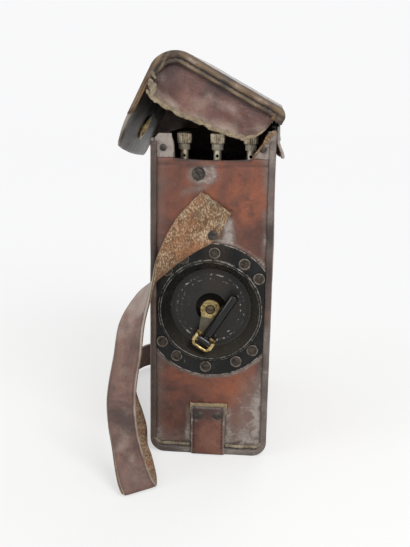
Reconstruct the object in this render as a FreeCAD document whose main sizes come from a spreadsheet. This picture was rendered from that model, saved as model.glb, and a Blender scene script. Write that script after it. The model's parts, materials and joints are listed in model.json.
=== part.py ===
"""Field telephone in a leather case: a parametric FreeCAD document, in millimetres.

The origin lies under the middle of the case, on the surface that it stands on. +Z is up, -Y is the
end with the crank, and +X is the back, where the lid is hinged. The lid stands ajar at rest.
"""
import FreeCAD, Part
import math
import os
import re

import Sketcher
from FreeCAD import Placement, Rotation, Vector

SIZES = {
    # leather case
    "case_width": 98, "case_depth": 190, "front_height": 264, "back_rise": 8,
    "leather": 3, "sole": 2.5, "fit_gap": 0.1, "corner_radius": 12, "welt_width": 5, "welt_proud": 2,
    "lip_drop": 15, "lip_side": 19, "ear_rise": 4, "ear_slope": 7,
    # tab under the case and its rivets
    "tab_width": 28, "tab_height": 43, "tab_rivet_drop": 6.5, "tab_rivet_half": 8,
    "rivet_radius": 3.5, "rivet_shank": 1.5, "rivet_dome": 1.6, "ear_rivet_inset": 10,
    "ear_rivet_drop": 7, "ear_rivet_radius": 2.8, "underlay_rise": 1.5,
    # crank flange
    "crank_height": 126.5, "flange_gap": 0.2, "flange_sheet": 1.6, "flange_edge": 7.9,
    "rim_gap": 0.7, "rim_proud": 4.5, "rim_wall": 2.2, "dish_slope": 9.3, "dish_depth": 7,
    "dish_hole": 12.5, "flange_rivet_radius": 4.9, "flange_rivet_dome": 2.4,
    "flange_rivet_shank": 2.2, "rivet_turn": 3.5, "side_rivet_turn": 51, "ring_width": 11,
    "ring_sheet": 2,
    # chassis
    "chassis_gap": 3.5, "chassis_sheet": 2, "chassis_over": 7, "bench_drop": 27, "bench_sheet": 4,
    "well_depth": 61.5, "partition_sheet": 2.5, "bridge_gap": 8, "bridge_sheet": 2,
    "frame_screw_side": 11, "screw_head": 4, "screw_washer": 5.25, "screw_shank": 2,
    "washer_sheet": 0.7, "screw_head_height": 1.8, "screw_slot_width": 1.2,
    "screw_slot_depth": 1, "screw_slot_turn": 55, "crank_slot_turn": 20,
    # binding posts, with heights above the terminal panel's under side
    "post_inset": 20, "post_pitch": 26.75, "post_middle": 2.3, "post_radius": 3.2,
    "post_foot_radius": 5.5, "post_foot_height": 3, "post_height": 26, "nut_rise": 17.5,
    "nut_collar": 4.5, "nut_radius": 6, "nut_collar_height": 4.5, "nut_height": 12.5,
    "wire_hole": 1.3, "wire_hole_rise": 13, "thread_gap": 0.1, "post_bevel": 0.6,
    # generator
    "gear_module": 1.25, "gear_teeth": 48, "pinion_teeth": 12, "gear_face": 5, "gear_gap": 0.35,
    "gear_off": 2.5, "plate_sheet": 2.5, "generator_inset": 27.75, "plate_clear": 1,
    "plate_gap": 4.5, "plate_rise": 23.5, "plate_corner": 12, "shaft_radius": 4,
    "armature_shaft": 3, "bush_radius": 7, "bush_wall": 2.5, "running_gap": 0.08,
    "armature_radius": 17, "pole_gap": 0.5, "magnet_bar": 12, "magnet_rise": 33.5,
    "magnet_drop": 21, "magnet_share": 0.3, "magnet_gap": 1, "pole_half_height": 17,
    "pole_thick": 14, "contact_foot": 2.4, "contact_sheet": 0.6, "contact_width": 6,
    "contact_length": 29, "contact_over": 4, "tie_rod": 2, "tie_rod_inset": 9, "end_play": 1.5,
    # crank
    "arm_inset": 6.5, "arm_sheet": 2.4, "arm_angle": 10.4, "arm_clear": 7, "arm_half": 5.6,
    "boss_radius": 8, "boss_height": 3.5, "crank_screw_radius": 3.4, "thread_radius": 1.4,
    "crank_screw_height": 1.4, "clevis_length": 18, "clevis_depth": 8, "clevis_sheet": 1.5,
    "fold_angle": 32.7, "pin_radius": 1.5, "pin_gap": 0.08, "grip_over": 3,
    "grip_radius": 3.75, "grip_start": 10, "eye_radius": 3.4, "eye_half": 4.2, "eye_gap": 0.4,
    "rib_width": 1.4, "rib_proud": 1.2, "rib_end": 3, "arm_flare": 1.2,
    # lid
    "hinge_out": 3, "hinge_rise": 3, "lid_rise": 12.5, "lid_past": 7, "lid_over": 8,
    "lid_radius": 22, "lid_lean": 2.2, "flap_length": 84, "flap_middle": 106,
    "flap_flat": 34, "flap_shoulder": 72, "gusset_sheet": 2.5, "near_gusset_drop": 41,
    "far_gusset_drop": 64, "gusset_seat": 0.4,
    "hinge_leather_height": 25, "lid_open": 28.5, "lid_welt": 3, "lid_band": 6, "back_lip": 9,
    # closure
    "eyelet_down": 76, "eyelet_high": 8.5, "eyelet_rim": 2.6, "eyelet_wall": 1,
    "eyelet_proud": 0.8, "staple_reach": 7.4, "staple_wire": 1.4, "staple_half": 3.9,
    "staple_plate": 1, "staple_rise": 5, "staple_plate_width": 22, "staple_plate_height": 18,
    # carrying strap
    "strap_thick": 2.8, "strap_rivet_side": 1.4, "strap_rivet_share": 0.1355,
    "strap_rivet_radius": 4, "strap_seat": 1,
    # bell, with heights below the terminal panel
    "gong_radius": 17, "gong_side": 20, "gong_inset": 27, "gong_drop": 23, "gong_height": 12,
    "gong_sheet": 1.4, "gong_post": 3, "coil_side": 13, "coil_back": 22, "coil_radius": 9,
    "coil_clear": 10, "cheek_sheet": 2, "cheek_lip": 0.8, "core_radius": 3.5, "core_proud": 1.5,
    "yoke_half": 8, "yoke_sheet": 2, "rocker_drop": 25, "rocker_half": 17, "rocker_width": 7,
    "rocker_sheet": 2.4, "rocker_pin": 1.2, "rocker_gap": 0.2, "rocker_cheek": 1.5,
    "ball_radius": 2, "ball_rise": 8, "stem_radius": 1.1, "reach_radius": 0.9,
    # battery, coil and condenser
    "cell_edge": 0.5, "cell_apart": 5, "cell_height": 120, "cell_gap": 2,
    "cap_radius": 4, "cap_height": 5, "link_sheet": 0.8, "link_width": 8,
    "induction_radius": 13, "induction_lip": 1.5, "induction_cheek": 3, "induction_clear": 5,
    "induction_gap": 6, "condenser_half": 28, "condenser_depth": 24, "condenser_height": 30,
    # handset in its well
    "handset_inset": 33, "handset_middle": 2, "handle_radius": 10.5, "receiver_drop": 39,
    "transmitter_rise": 26.3, "capsule_radius": 25, "capsule_depth": 22, "shell_wall": 2.5,
    "ear_cap_radius": 26, "ear_cap_depth": 8, "sound_hole": 5, "button_length": 34,
    "button_width": 9, "button_proud": 3.5, "button_root": 3, "button_travel": 2,
    "button_drop": 73, "button_gap": 0.4,
}

FITTED = {                     # what follows from the sizes above
    "back_height": "front_height + back_rise",
    "lip_height": "front_height - lip_drop", "lip_half": "case_width/2 - lip_side",
    "ear_height": "front_height + ear_rise", "ear_foot_half": "case_width/2 - corner_radius",
    "tab_rivet_height": "tab_height - tab_rivet_drop",
    "ear_rivet_side": "case_width/2 - ear_rivet_inset",
    "ear_rivet_height": "front_height - ear_rivet_drop",
    "flange_half": "case_width/2 - welt_width - flange_gap",
    "flange_rivet_circle":
        "(flange_half - flange_rivet_radius + fit_gap)/sin(side_rivet_turn + rivet_turn)",
    "flange_radius": "flange_rivet_circle + flange_edge",
    "rim_radius": "flange_rivet_circle - flange_rivet_radius - rim_gap",
    "dish_radius": "rim_radius - dish_slope", "arm_reach": "dish_radius - arm_clear",
    "grip_length": "dish_radius + grip_over", "flange_top": "crank_height + flange_radius",
    "chassis_half": "case_width/2 - leather - chassis_gap",
    "base_half": "case_width/2 - corner_radius",
    "bench_height": "front_height - bench_drop",
    "chassis_top": "bench_height + chassis_over", "frame_screw_height": "bench_height",
    "screw_low": "frame_screw_height - screw_washer",
    "strap_rivet_height": "flange_top + (screw_low - flange_top)*strap_rivet_share",
    "within": "case_depth/2 - welt_proud - leather",
    "partition_place": "within - well_depth - partition_sheet",
    "post_place": "case_depth/2 - post_inset", "post_top": "bench_height + post_height",
    "nut_low": "bench_height + nut_rise", "nut_head_low": "nut_low + nut_collar_height",
    "nut_top": "nut_low + nut_height", "wire_hole_height": "bench_height + wire_hole_rise",
    "cell_radius": "(base_half - cell_edge - cell_apart/2)/2",
    "cell_side": "base_half - cell_edge - cell_radius",
    "cell_place": "partition_place - cell_gap - cell_radius",
    "near_plate": "case_depth/2 - generator_inset",
    "far_plate": "cell_radius - cell_place + plate_clear + plate_sheet/2",
    "generator_length": "near_plate - far_plate", "magnet_pitch": "generator_length*magnet_share",
    "magnet_width": "magnet_pitch - magnet_gap",
    "induction_length": "generator_length - induction_gap - induction_clear",
    "magnet_middle": "(near_plate + far_plate)/2", "plate_half": "chassis_half - plate_gap",
    "armature_drop": "gear_module*(gear_teeth + pinion_teeth)/2",
    "plate_top": "crank_height + plate_rise", "magnet_half": "plate_half",
    "magnet_inside": "magnet_half - magnet_bar", "magnet_top": "crank_height + magnet_rise",
    "magnet_bottom": "crank_height - armature_drop - magnet_drop",
    "arm_back": "case_depth/2 - arm_inset",
    "hinge_side": "case_width/2 + hinge_out", "hinge_height": "back_height + hinge_rise",
    "lid_front": "case_width/2 + lid_over", "lid_top": "hinge_height + lid_rise",
    "lid_depth": "case_depth + 2*lid_past",
    "hinge_leather_low": "hinge_height - hinge_leather_height",
    "bridge_height": "magnet_top + bridge_gap", "gong_rim": "bench_height - gong_drop",
    "rocker_height": "bench_height - rocker_drop", "ball_height": "rocker_height + ball_rise",
    "coil_height": "rocker_height - bridge_height - coil_clear",
    "gong_place": "case_depth/2 - gong_inset", "coil_place": "gong_place - coil_back",
    "handset_place": "within - handset_inset", "receiver_height": "bench_height - receiver_drop",
    "transmitter_height": "sole + leather + chassis_sheet + transmitter_rise",
    "button_height": "receiver_height - button_drop",
}

doc = FreeCAD.newDocument("FieldTelephone")
sheet = doc.addObject("Spreadsheet::Sheet", "Sizes")
for row, alias in enumerate(list(SIZES) + list(FITTED), start=1):
    sheet.set("A%d" % row, alias)
    sheet.set("B%d" % row, str(SIZES[alias]) if alias in SIZES else "=" + FITTED[alias])
    sheet.setAlias("B%d" % row, alias)
doc.recompute()

NAMES = sorted(list(SIZES) + list(FITTED), key=len, reverse=True)
ALIASES = re.compile(r"\b(%s)\b" % "|".join(NAMES))
UPRIGHT = (0, 0, 1, 0)
TO_NEAR = (1, 0, 0, 90)        # turns a piece's own +Z towards -Y, the crank end
TO_FAR = (1, 0, 0, -90)        # ... towards +Y
TO_BACK = (0, 1, 0, 90)        # ... towards +X
parts = []


def formula(text):
    """A size formula, with the sheet's name put before each of its aliases."""
    return ALIASES.sub(r"Sizes.\1", str(text))


def place(item, at, turn=UPRIGHT):
    """Put an object at a point given by three formulas, turned about an axis."""
    item.Placement = Placement(Vector(), Rotation(Vector(*turn[:3]), turn[3]))
    for axis, text in zip("xyz", at):
        item.setExpression(".Placement.Base." + axis, formula(text))
    return item


def swing(item, angle):
    """Bind the angle of an object that is already turned about its axis."""
    item.setExpression(".Placement.Rotation.Angle", formula(angle))
    return item


def solid(kind, name, at, turn=UPRIGHT, **sizes):
    """A Part primitive whose sizes and place are formulas."""
    item = doc.addObject("Part::" + kind, name)
    for key, text in sizes.items():
        item.setExpression(key, formula(text))
    return place(item, at, turn)


def block(name, low, sides):
    """A box from its lowest corner and its three sides."""
    return solid("Box", name, low, Length=sides[0], Width=sides[1], Height=sides[2])


def rod(name, at, radius, length, turn=UPRIGHT):
    """A cylinder that starts at a point."""
    return solid("Cylinder", name, at, turn, Radius=radius, Height=length)


def joined(name, *pieces):
    """One solid made of pieces that run into each other."""
    item = doc.addObject("Part::MultiFuse", name)
    item.Shapes = list(pieces)
    return item


def cut(name, base, *tools):
    """A base with one or more tools taken away."""
    item = doc.addObject("Part::Cut", name)
    item.Base = base
    item.Tool = tools[0] if len(tools) == 1 else joined(name + "_tools", *tools)
    return item


def common(name, base, tool):
    """What two shapes share."""
    item = doc.addObject("Part::Common", name)
    item.Base = base
    item.Tool = tool
    return item


def group(name, pieces):
    """Separate solids that share one node."""
    item = doc.addObject("Part::Compound", name)
    item.Links = list(pieces)
    return item


def keep(item, label):
    """Name an object as one of the telephone's sub-parts."""
    item.Label = label
    parts.append(item)
    return item


def drawing(body, role, loops, circles=()):
    """A sketch of closed outlines and circles, with each coordinate bound to a formula."""
    plane = next(f for f in body.Origin.OriginFeatures if f.Role == role)
    page = body.newObject("Sketcher::SketchObject", body.Name + "_outline")
    page.AttachmentSupport = (plane, [""])
    page.MapMode = "FlatFace"

    def tie(kind, index, point, text):
        row = page.addConstraint(Sketcher.Constraint(kind, -1, 1, index, point, 1.0))
        page.setExpression("Constraints[%d]" % row, formula(text))

    first = 0
    for loop in loops:
        count = len(loop)
        turns = [2 * math.pi * i / count for i in range(count)]
        rough = [Vector(10 * math.cos(t), 10 * math.sin(t), 0) for t in turns]
        for i in range(count):
            page.addGeometry(Part.LineSegment(rough[i], rough[(i + 1) % count]), False)
        for i in range(count):
            following = first + (i + 1) % count
            page.addConstraint(Sketcher.Constraint("Coincident", first + i, 2, following, 1))
        for i, (across, up) in enumerate(loop):
            tie("DistanceX", first + i, 1, across)
            tie("DistanceY", first + i, 1, up)
        first += count
    for across, up, radius in circles:
        page.addGeometry(Part.Circle(Vector(1, 1, 0), Vector(0, 0, 1), 5), False)
        tie("DistanceX", first, 3, across)
        tie("DistanceY", first, 3, up)
        row = page.addConstraint(Sketcher.Constraint("Radius", first, 5.0))
        page.setExpression("Constraints[%d]" % row, formula(radius))
        first += 1
    return page


def slab(name, role, loop, thickness, at, holes=(), circles=(), turn=UPRIGHT):
    """A plate of even thickness, padded both ways from the middle plane that it is drawn on."""
    body = doc.addObject("PartDesign::Body", name)
    page = drawing(body, role, [loop] + list(holes), circles)
    pad = body.newObject("PartDesign::Pad", name + "_pad")
    pad.Profile = page
    pad.SideType = "Symmetric"
    pad.setExpression("Length", formula(thickness))
    return place(body, at, turn)


def turned(name, loop, at, turn=UPRIGHT):
    """A lathe-turned piece: (radius, height) points about its own upright axis."""
    body = doc.addObject("PartDesign::Body", name)
    page = drawing(body, "XZ_Plane", [loop])
    spin = body.newObject("PartDesign::Revolution", name + "_spin")
    spin.Profile = page
    spin.ReferenceAxis = (page, ["V_Axis"])
    spin.Angle = 360
    return place(body, at, turn)


def softened(body, radius, chosen):
    """Round the edges of a body that a test picks out in the body's own frame."""
    doc.recompute()
    base = body.Tip
    names = ["Edge%d" % n for n, edge in enumerate(base.Shape.Edges, 1) if chosen(edge)]
    fillet = body.newObject("PartDesign::Fillet", body.Name + "_round")
    fillet.Base = (base, names)
    fillet.setExpression("Radius", formula(radius))
    return body


def size(alias):
    """The present value of one cell of the sheet."""
    return float(sheet.get(alias))


def along(axis, *spots):
    """Picks straight edges along an axis, "X" or "Y", that pass through given (side, height) spots."""
    side = {"X": "Y", "Y": "X"}[axis]

    def chosen(edge):
        box = edge.BoundBox
        if getattr(box, axis + "Length") < 0.1 or getattr(box, side + "Length") > 0.01:
            return False
        across = getattr(box, side + "Min")
        return any(abs(across - a) < 0.05 and abs(box.ZMin - b) < 0.05 and box.ZLength < 0.01
                   for a, b in spots)
    return chosen


# ---------------------------------------------------------------- leather case

FACE = "(case_depth/2 - welt_proud)"           # how far out the end panels' faces lie
RIVET_ANGLES = ("0", "31", "side_rivet_turn", "129", "149", "180", "211", "231", "309", "329")


def flange_spots():
    """Where the flange's rivets stand, clockwise from the top."""
    across = "flange_rivet_circle*sin(%s + rivet_turn)"
    up = "crank_height + flange_rivet_circle*cos(%s + rivet_turn)"
    return [(across % angle, up % angle) for angle in RIVET_ANGLES]


def fastener_spots():
    """(across, height, radius) of the small holes that both end panels have."""
    spots = [(sign + "tab_rivet_half", "tab_rivet_height", "rivet_shank") for sign in ("-", "")]
    spots += [(sign + "ear_rivet_side", "ear_rivet_height", "rivet_shank") for sign in ("-", "")]
    spots.append(("-frame_screw_side", "frame_screw_height", "screw_shank"))
    spots.append(("strap_rivet_side", "strap_rivet_height", "rivet_shank"))
    return spots


def case_wrap():
    """Front, bottom and back of the case, bent from one hide."""
    side, inside = "case_width/2", "case_width/2 - leather"
    loop = [("-" + side, "front_height"), ("-" + side, "sole"), (side, "sole"),
            (side, "back_height"), (inside, "back_height"), (inside, "sole + leather"),
            ("leather - case_width/2", "sole + leather"),
            ("leather - case_width/2", "front_height")]
    body = slab("Wrap", "XZ_Plane", loop, "2*" + FACE, (0, 0, 0))
    half, low = size("case_width") / 2, size("sole")
    softened(body, "corner_radius", along("Y", (-half, low), (half, low)))
    half, low = half - size("leather"), low + size("leather")
    again = along("Y", (-half, low), (half, low))
    doc.recompute()
    base = body.Tip
    fillet = body.newObject("PartDesign::Fillet", "Wrap_inner_round")
    fillet.Base = (base, ["Edge%d" % n for n, e in enumerate(base.Shape.Edges, 1) if again(e)])
    fillet.setExpression("Radius", formula("corner_radius - leather"))
    keep(body, "case_wrap")


def end_panel(label, side, circles, mouth=()):
    """A sewn-in end of the case, whose upper edge may have a mouth cut in it."""
    inside = "case_width/2 - leather"
    loop = [("-(%s)" % inside, "front_height"), ("-(%s)" % inside, "sole + leather"),
            (inside, "sole + leather"), (inside, "back_height")] + list(mouth)
    body = slab(label, "XZ_Plane", loop, "leather", (0, side + "(%s - leather/2)" % FACE, 0),
                circles=circles)
    half, low = size("case_width") / 2 - size("leather"), size("sole") + size("leather")
    softened(body, "corner_radius - leather + fit_gap", along("Y", (-half, low), (half, low)))
    return body


def end_panels():
    """The near end, with an ear at each side of its mouth, and the far end, which is closed."""
    near = [(a, b, r + " + fit_gap") for a, b, r in fastener_spots()]
    far = list(near)
    near.append((0, "crank_height", "rim_radius - flange_sheet"))
    near += [(a, b, "flange_rivet_shank + fit_gap") for a, b in flange_spots()]
    mouth = [("ear_foot_half + leather", "back_height"),
             ("ear_foot_half", "ear_height - ear_slope"), ("lip_half", "lip_height"),
             ("-lip_half", "lip_height"), ("-lip_half", "ear_height - ear_slope - leather"),
             ("-lip_half - leather", "ear_height"), ("2*leather - case_width/2", "ear_height")]
    keep(end_panel("near_panel", "-", near, mouth), "near_panel")
    keep(end_panel("far_panel", "", far), "far_panel")


def end_welts():
    """The turned-over border that the ends are stitched through, round three sides."""
    side, inside = "case_width/2", "(case_width/2 - welt_width)"
    loop = [("-" + side, "front_height - 2"), ("-" + side, 0), (side, 0),
            (side, "back_height - 2"), (inside, "back_height - 2"), (inside, "sole + welt_width"),
            ("-" + inside, "sole + welt_width"), ("-" + inside, "front_height - 2")]
    way = block("Welt_way", ("-tab_width/2 - fit_gap", "-case_depth", -1),
                ("tab_width + 2*fit_gap", "2*case_depth", "sole + 1"))
    welts = []
    for sign in ("-", ""):
        at = (0, sign + "(case_depth/2 - welt_proud/2)", 0)
        body = slab("Welt", "XZ_Plane", loop, "welt_proud", at)
        half = size("case_width") / 2
        softened(body, "corner_radius", along("Y", (-half, 0), (half, 0)))
        welts.append(cut("Welt_over_tab", body, way))
    keep(group("Welts", welts), "end_welts")


def base_strap():
    """The broad tab that runs under the case and up both ends, on which the case stands."""
    out, rise = "(case_depth/2 + sole)", "tab_height"
    loop = [("-" + out, rise), ("-" + out, 0), (out, 0), (out, rise), ("case_depth/2", rise),
            ("case_depth/2", "sole"), ("-case_depth/2", "sole"), ("-case_depth/2", rise)]
    body = slab("Tab", "YZ_Plane", loop, "tab_width", (0, 0, 0))
    half = size("case_depth") / 2 + size("sole")
    softened(body, "sole", along("X", (-half, 0), (half, 0)))
    drills = [rod("Tab_drill", (sign_x + "tab_rivet_half", "-case_depth", "tab_rivet_height"),
                  "rivet_shank + fit_gap", "2*case_depth", TO_FAR) for sign_x in ("-", "")]
    keep(cut("Tab_drilled", body, *drills), "base_strap")
    underlays = []
    for sign in (-1, 1):
        low = "%d*(case_depth/2 - welt_proud/2) - welt_proud/2" % sign
        pad = block("Underlay", ("leather/2 - tab_width/2", low, "sole + welt_width"),
                    ("tab_width - leather", "welt_proud",
                     "tab_height + underlay_rise - sole - welt_width"))
        underlays.append(cut("Underlay_drilled", pad, *drills))
    keep(group("Underlays", underlays), "tab_underlays")


def rivet(name, across, up, head, shank, dome, seat, back, sign):
    """A round-headed rivet whose head sits at one depth and whose shank ends at another."""
    loop = [(0, dome), (head + "*0.55", dome), (head, dome + "*0.45"), (head, 0), (shank, 0),
            (shank, "(%s) - (%s)" % (back, seat)), (0, "(%s) - (%s)" % (back, seat))]
    turn = TO_NEAR if sign < 0 else TO_FAR
    return turned(name, loop, (across, "%d*(%s)" % (sign, seat), up), turn)


def case_rivets():
    """Rivets of the tab, the ears and the carrying strap, at both ends."""
    rivets = []
    back = FACE + " - leather"
    for sign in (-1, 1):
        for side in ("-", ""):
            rivets.append(rivet("Tab_rivet", side + "tab_rivet_half", "tab_rivet_height",
                                "rivet_radius", "rivet_shank", "rivet_dome",
                                "case_depth/2 + sole", back, sign))
            rivets.append(rivet("Ear_rivet", side + "ear_rivet_side", "ear_rivet_height",
                                "ear_rivet_radius", "rivet_shank", "rivet_dome", FACE, back, sign))
    rivets += [rivet("Strap_rivet", "strap_rivet_side", "strap_rivet_height",
                     "strap_rivet_radius", "rivet_shank", "rivet_dome",
                     FACE + " + strap_thick + strap_seat", back, sign) for sign in (-1, 1)]
    keep(group("Case_rivets", rivets), "case_rivets")


def slotted(name, screw, reach, at, turn):
    """A screw with a driver's slot cut across its head, at an angle."""
    wide = "screw_slot_width/2"
    loop = [("-" + reach, "-" + wide), (reach, "-" + wide), (reach, wide), ("-" + reach, wide)]
    slot = slab(name + "_slot", "XZ_Plane", loop, "2*screw_slot_depth", at, turn=(0, 1, 0, 1))
    return cut(name, screw, swing(slot, turn))


def frame_screws():
    """Slotted screws with washers that hold the chassis in the case, one at each end."""
    screws, washers = [], []
    for sign in (-1, 1):
        turn = TO_NEAR if sign < 0 else TO_FAR
        spot = ("-frame_screw_side", "%d*%s" % (sign, FACE), "frame_screw_height")
        ring = [("screw_shank + fit_gap", 0), ("screw_washer", 0), ("screw_washer", "washer_sheet"),
                ("screw_shank + fit_gap", "washer_sheet")]
        washers.append(turned("Washer", ring, spot, turn))
        top = "(washer_sheet + screw_head_height)"
        loop = [(0, top), ("screw_head*0.8", top), ("screw_head", top + " - screw_slot_depth/2"),
                ("screw_head", "washer_sheet"), ("screw_shank", "washer_sheet"),
                ("screw_shank", "-(leather + ring_sheet + chassis_sheet)"),
                (0, "-(leather + ring_sheet + chassis_sheet)")]
        screw = turned("Screw", loop, spot, turn)
        screws.append(slotted("Screw_slotted", screw, "screw_head",
                              (spot[0], "%d*(%s + %s)" % (sign, FACE, top), spot[2]),
                              "screw_slot_turn"))
    keep(group("Frame_screws", screws), "frame_screws")
    keep(group("Screw_washers", washers), "screw_washers")


# ---------------------------------------------------------------- crank flange

def crank_flange():
    """The pressed dish that the crank folds into, its rim and its flat-sided mounting flange."""
    floor, under = "-dish_depth", "-dish_depth - flange_sheet"
    loop = [("flange_radius", 0), ("flange_radius", "flange_sheet"),
            ("rim_radius", "flange_sheet"), ("rim_radius", "rim_proud"),
            ("rim_radius - rim_wall", "rim_proud"), ("dish_radius", floor), ("dish_hole", floor),
            ("dish_hole", under), ("dish_radius + flange_sheet/2", under),
            ("rim_radius - 2*flange_sheet", 0)]
    pan = turned("Pan", loop, (0, "-" + FACE, "crank_height"), TO_NEAR)
    top = size("rim_proud")
    softened(pan, "rim_wall*0.4", lambda edge: abs(edge.BoundBox.ZMin - top) < 0.01
             and edge.BoundBox.ZLength < 0.01)
    sides = block("Flange_sides", ("-flange_half", "-case_depth", "crank_height - flange_radius"),
                  ("2*flange_half", "case_depth", "2*flange_radius"))
    flat = common("Pan_with_flats", pan, sides)
    drills = [rod("Flange_drill", (a, "-case_depth/2 - 5", b), "flange_rivet_shank + fit_gap",
                  "leather + ring_sheet + 10", TO_FAR) for a, b in flange_spots()]
    keep(cut("Flange_drilled", flat, *drills), "crank_flange")

    start = "-(%s - leather)" % FACE
    ring = cut("Ring", rod("Ring_outside", (0, start, "crank_height"),
                           "flange_rivet_circle + ring_width/2", "ring_sheet", TO_FAR),
               rod("Ring_inside", (0, start, "crank_height"),
                   "flange_rivet_circle - ring_width/2", "ring_sheet", TO_FAR), *drills)
    keep(common("Ring_with_flats", ring, sides), "flange_ring")

    seat, dome, head = "flange_sheet", "flange_rivet_dome", "flange_rivet_radius"
    end = "-leather - ring_sheet"
    loop = [(0, "%s + %s*0.6" % (seat, dome)), (head + "*0.6", "%s + %s*0.6" % (seat, dome)),
            (head + "*0.7", "%s + %s" % (seat, dome)), (head + "*0.88", "%s + %s" % (seat, dome)),
            (head, "%s + %s*0.5" % (seat, dome)), (head, seat), ("flange_rivet_shank", seat),
            ("flange_rivet_shank", end), (0, end)]
    rivets = [turned("Flange_rivet", loop, (a, "-" + FACE, b), TO_NEAR)
              for a, b in flange_spots()]
    keep(group("Flange_rivets", rivets), "flange_rivets")


# ---------------------------------------------------------------- crank and folding handle

ARM_FRONT = "(arm_back + arm_sheet)"
PIN_DEPTH = "(arm_back + arm_sheet + clevis_sheet + eye_radius + eye_gap)"
PIN_SIDE = "-arm_reach*sin(arm_angle)"
PIN_UP = "crank_height - arm_reach*cos(arm_angle)"


def crank():
    """Shaft, arm with its boss, clevis and pin, all turning together."""
    length = "arm_back + arm_sheet - far_plate + 3"
    bore = "thread_radius + fit_gap"
    loop = [(0, 0), ("shaft_radius", 0), ("shaft_radius", length), (bore, length),
            (bore, length + " - 6"), (0, length + " - 6")]
    at = (0, "3 - far_plate", "crank_height")
    keep(turned("Crank_shaft", loop, at, TO_NEAR), "crank_shaft")

    tip = "-(arm_reach - 1)"
    outline = [("-arm_half - arm_flare", 0), ("-arm_half", tip), ("arm_half", tip),
               ("arm_half + arm_flare", 0)]
    centre = "-(arm_back + arm_sheet/2)"
    web = slab("Arm_web", "XZ_Plane", outline, "arm_sheet", (0, 0, 0))
    boss = rod("Arm_boss", (0, "arm_sheet/2", 0), "boss_radius", "boss_height", TO_NEAR)
    end = rod("Arm_end", (0, "arm_sheet/2", tip), "arm_half", "arm_sheet", TO_NEAR)
    top, foot = "-boss_radius/2", tip + " + rib_end"
    rib = slab("Arm_rib", "XZ_Plane", [("arm_half + fit_gap", top),
                                       ("arm_half + fit_gap - rib_width", top),
                                       ("arm_half - rib_width", foot), ("arm_half", foot)],
               "arm_sheet + rib_proud", (0, "-rib_proud/2", 0))
    bore_rod = rod("Arm_bore", (0, "arm_sheet", 0), "shaft_radius + fit_gap/2",
                   "arm_sheet + boss_height + 2", TO_NEAR)
    arm = cut("Arm", joined("Arm_blank", web, boss, end, rib), bore_rod)
    place(arm, (0, centre, "crank_height"), (0, 1, 0, 1))
    keep(swing(arm, "arm_angle"), "crank_arm")

    loop = [(0, "crank_screw_height"), ("crank_screw_radius*0.8", "crank_screw_height"),
            ("crank_screw_radius", "crank_screw_height*0.5"), ("crank_screw_radius", 0),
            ("thread_radius", 0), ("thread_radius", -5), (0, -5)]
    front = "-(arm_back + boss_height)"
    screw = turned("Crank_screw", loop, (0, front, "crank_height"), TO_NEAR)
    keep(slotted("Crank_screw_slotted", screw, "crank_screw_radius",
                 (0, front + " - crank_screw_height", "crank_height"), "crank_slot_turn"),
         "crank_screw")

    foot = block("Clevis_foot", ("-clevis_length/2", "-clevis_sheet", "-clevis_depth/2"),
                 ("clevis_length", "clevis_sheet", "clevis_depth"))
    rise = "clevis_sheet + 2*eye_radius"
    cheeks = []
    for side in (-1, 1):
        low = "%d*(clevis_length/2 - clevis_sheet/2) - clevis_sheet/2" % side
        cheeks.append(block("Cheek", (low, "-(%s)" % rise, "-eye_radius"),
                            ("clevis_sheet", rise, "2*eye_radius")))
    pin_bore = rod("Pin_bore", ("-clevis_length", "-(clevis_sheet + eye_radius + eye_gap)", 0),
                   "pin_radius + fit_gap/2", "2*clevis_length", TO_BACK)
    clevis = cut("Clevis", joined("Clevis_blank", foot, *cheeks), pin_bore)
    place(clevis, (PIN_SIDE, "-" + ARM_FRONT, PIN_UP), (0, 1, 0, 1))
    keep(swing(clevis, "fold_angle"), "handle_clevis")

    pin = rod("Pin", (PIN_SIDE + " - clevis_length/2*cos(fold_angle)", "-" + PIN_DEPTH,
                      PIN_UP + " + clevis_length/2*sin(fold_angle)"),
              "pin_radius", "clevis_length", (0, 1, 0, 90))
    keep(swing(pin, "90 + fold_angle"), "handle_pin")


def crank_handle():
    """The eight-sided grip that folds into the dish, with its neck and eye."""
    eye = rod("Eye", ("-eye_half", 0, 0), "eye_radius", "2*eye_half", TO_BACK)
    neck = rod("Neck", (0, 0, 0), "eye_radius*0.75", "grip_start + 1")
    corner, flat = "grip_radius*0.924", "grip_radius*0.383"
    octagon = [(flat, corner), (corner, flat), (corner, "-" + flat), (flat, "-" + corner),
               ("-" + flat, "-" + corner), ("-" + corner, "-" + flat), ("-" + corner, flat),
               ("-" + flat, corner)]
    grip = slab("Grip", "XY_Plane", octagon, "grip_length",
                (0, 0, "grip_start + grip_length/2"))
    bore = rod("Eye_bore", ("-clevis_length", 0, 0), "pin_radius + pin_gap", "2*clevis_length",
               TO_BACK)
    handle = cut("Handle", joined("Handle_blank", eye, neck, grip), bore)
    place(handle, (PIN_SIDE, "-" + PIN_DEPTH, PIN_UP), (0, 1, 0, 1))
    keep(swing(handle, "fold_angle"), "crank_handle")


# ---------------------------------------------------------------- lid

HINGE = ("hinge_side", 0, "hinge_height")
ABOUT_HINGE = (0, 1, 0, 1)


def lid_outline(wall, drop):
    """The lid's bent section from back lip to flap, about the hinge, as it lies when shut."""
    top, front = "(lid_top - hinge_height)", "(-hinge_side - lid_front)"
    foot = "%s + (%s)*tan(lid_lean)" % (front, drop)
    return [(0, "fit_gap*6"), (0, top), (front, top), (foot, "%s - (%s)" % (top, drop)),
            (foot + " + " + wall, "%s - (%s)" % (top, drop)),
            ("%s + %s*(1 + tan(lid_lean))" % (front, wall), "%s - %s" % (top, wall)),
            ("-" + wall, "%s - %s" % (top, wall)), ("-" + wall, "fit_gap*6")]


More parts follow.
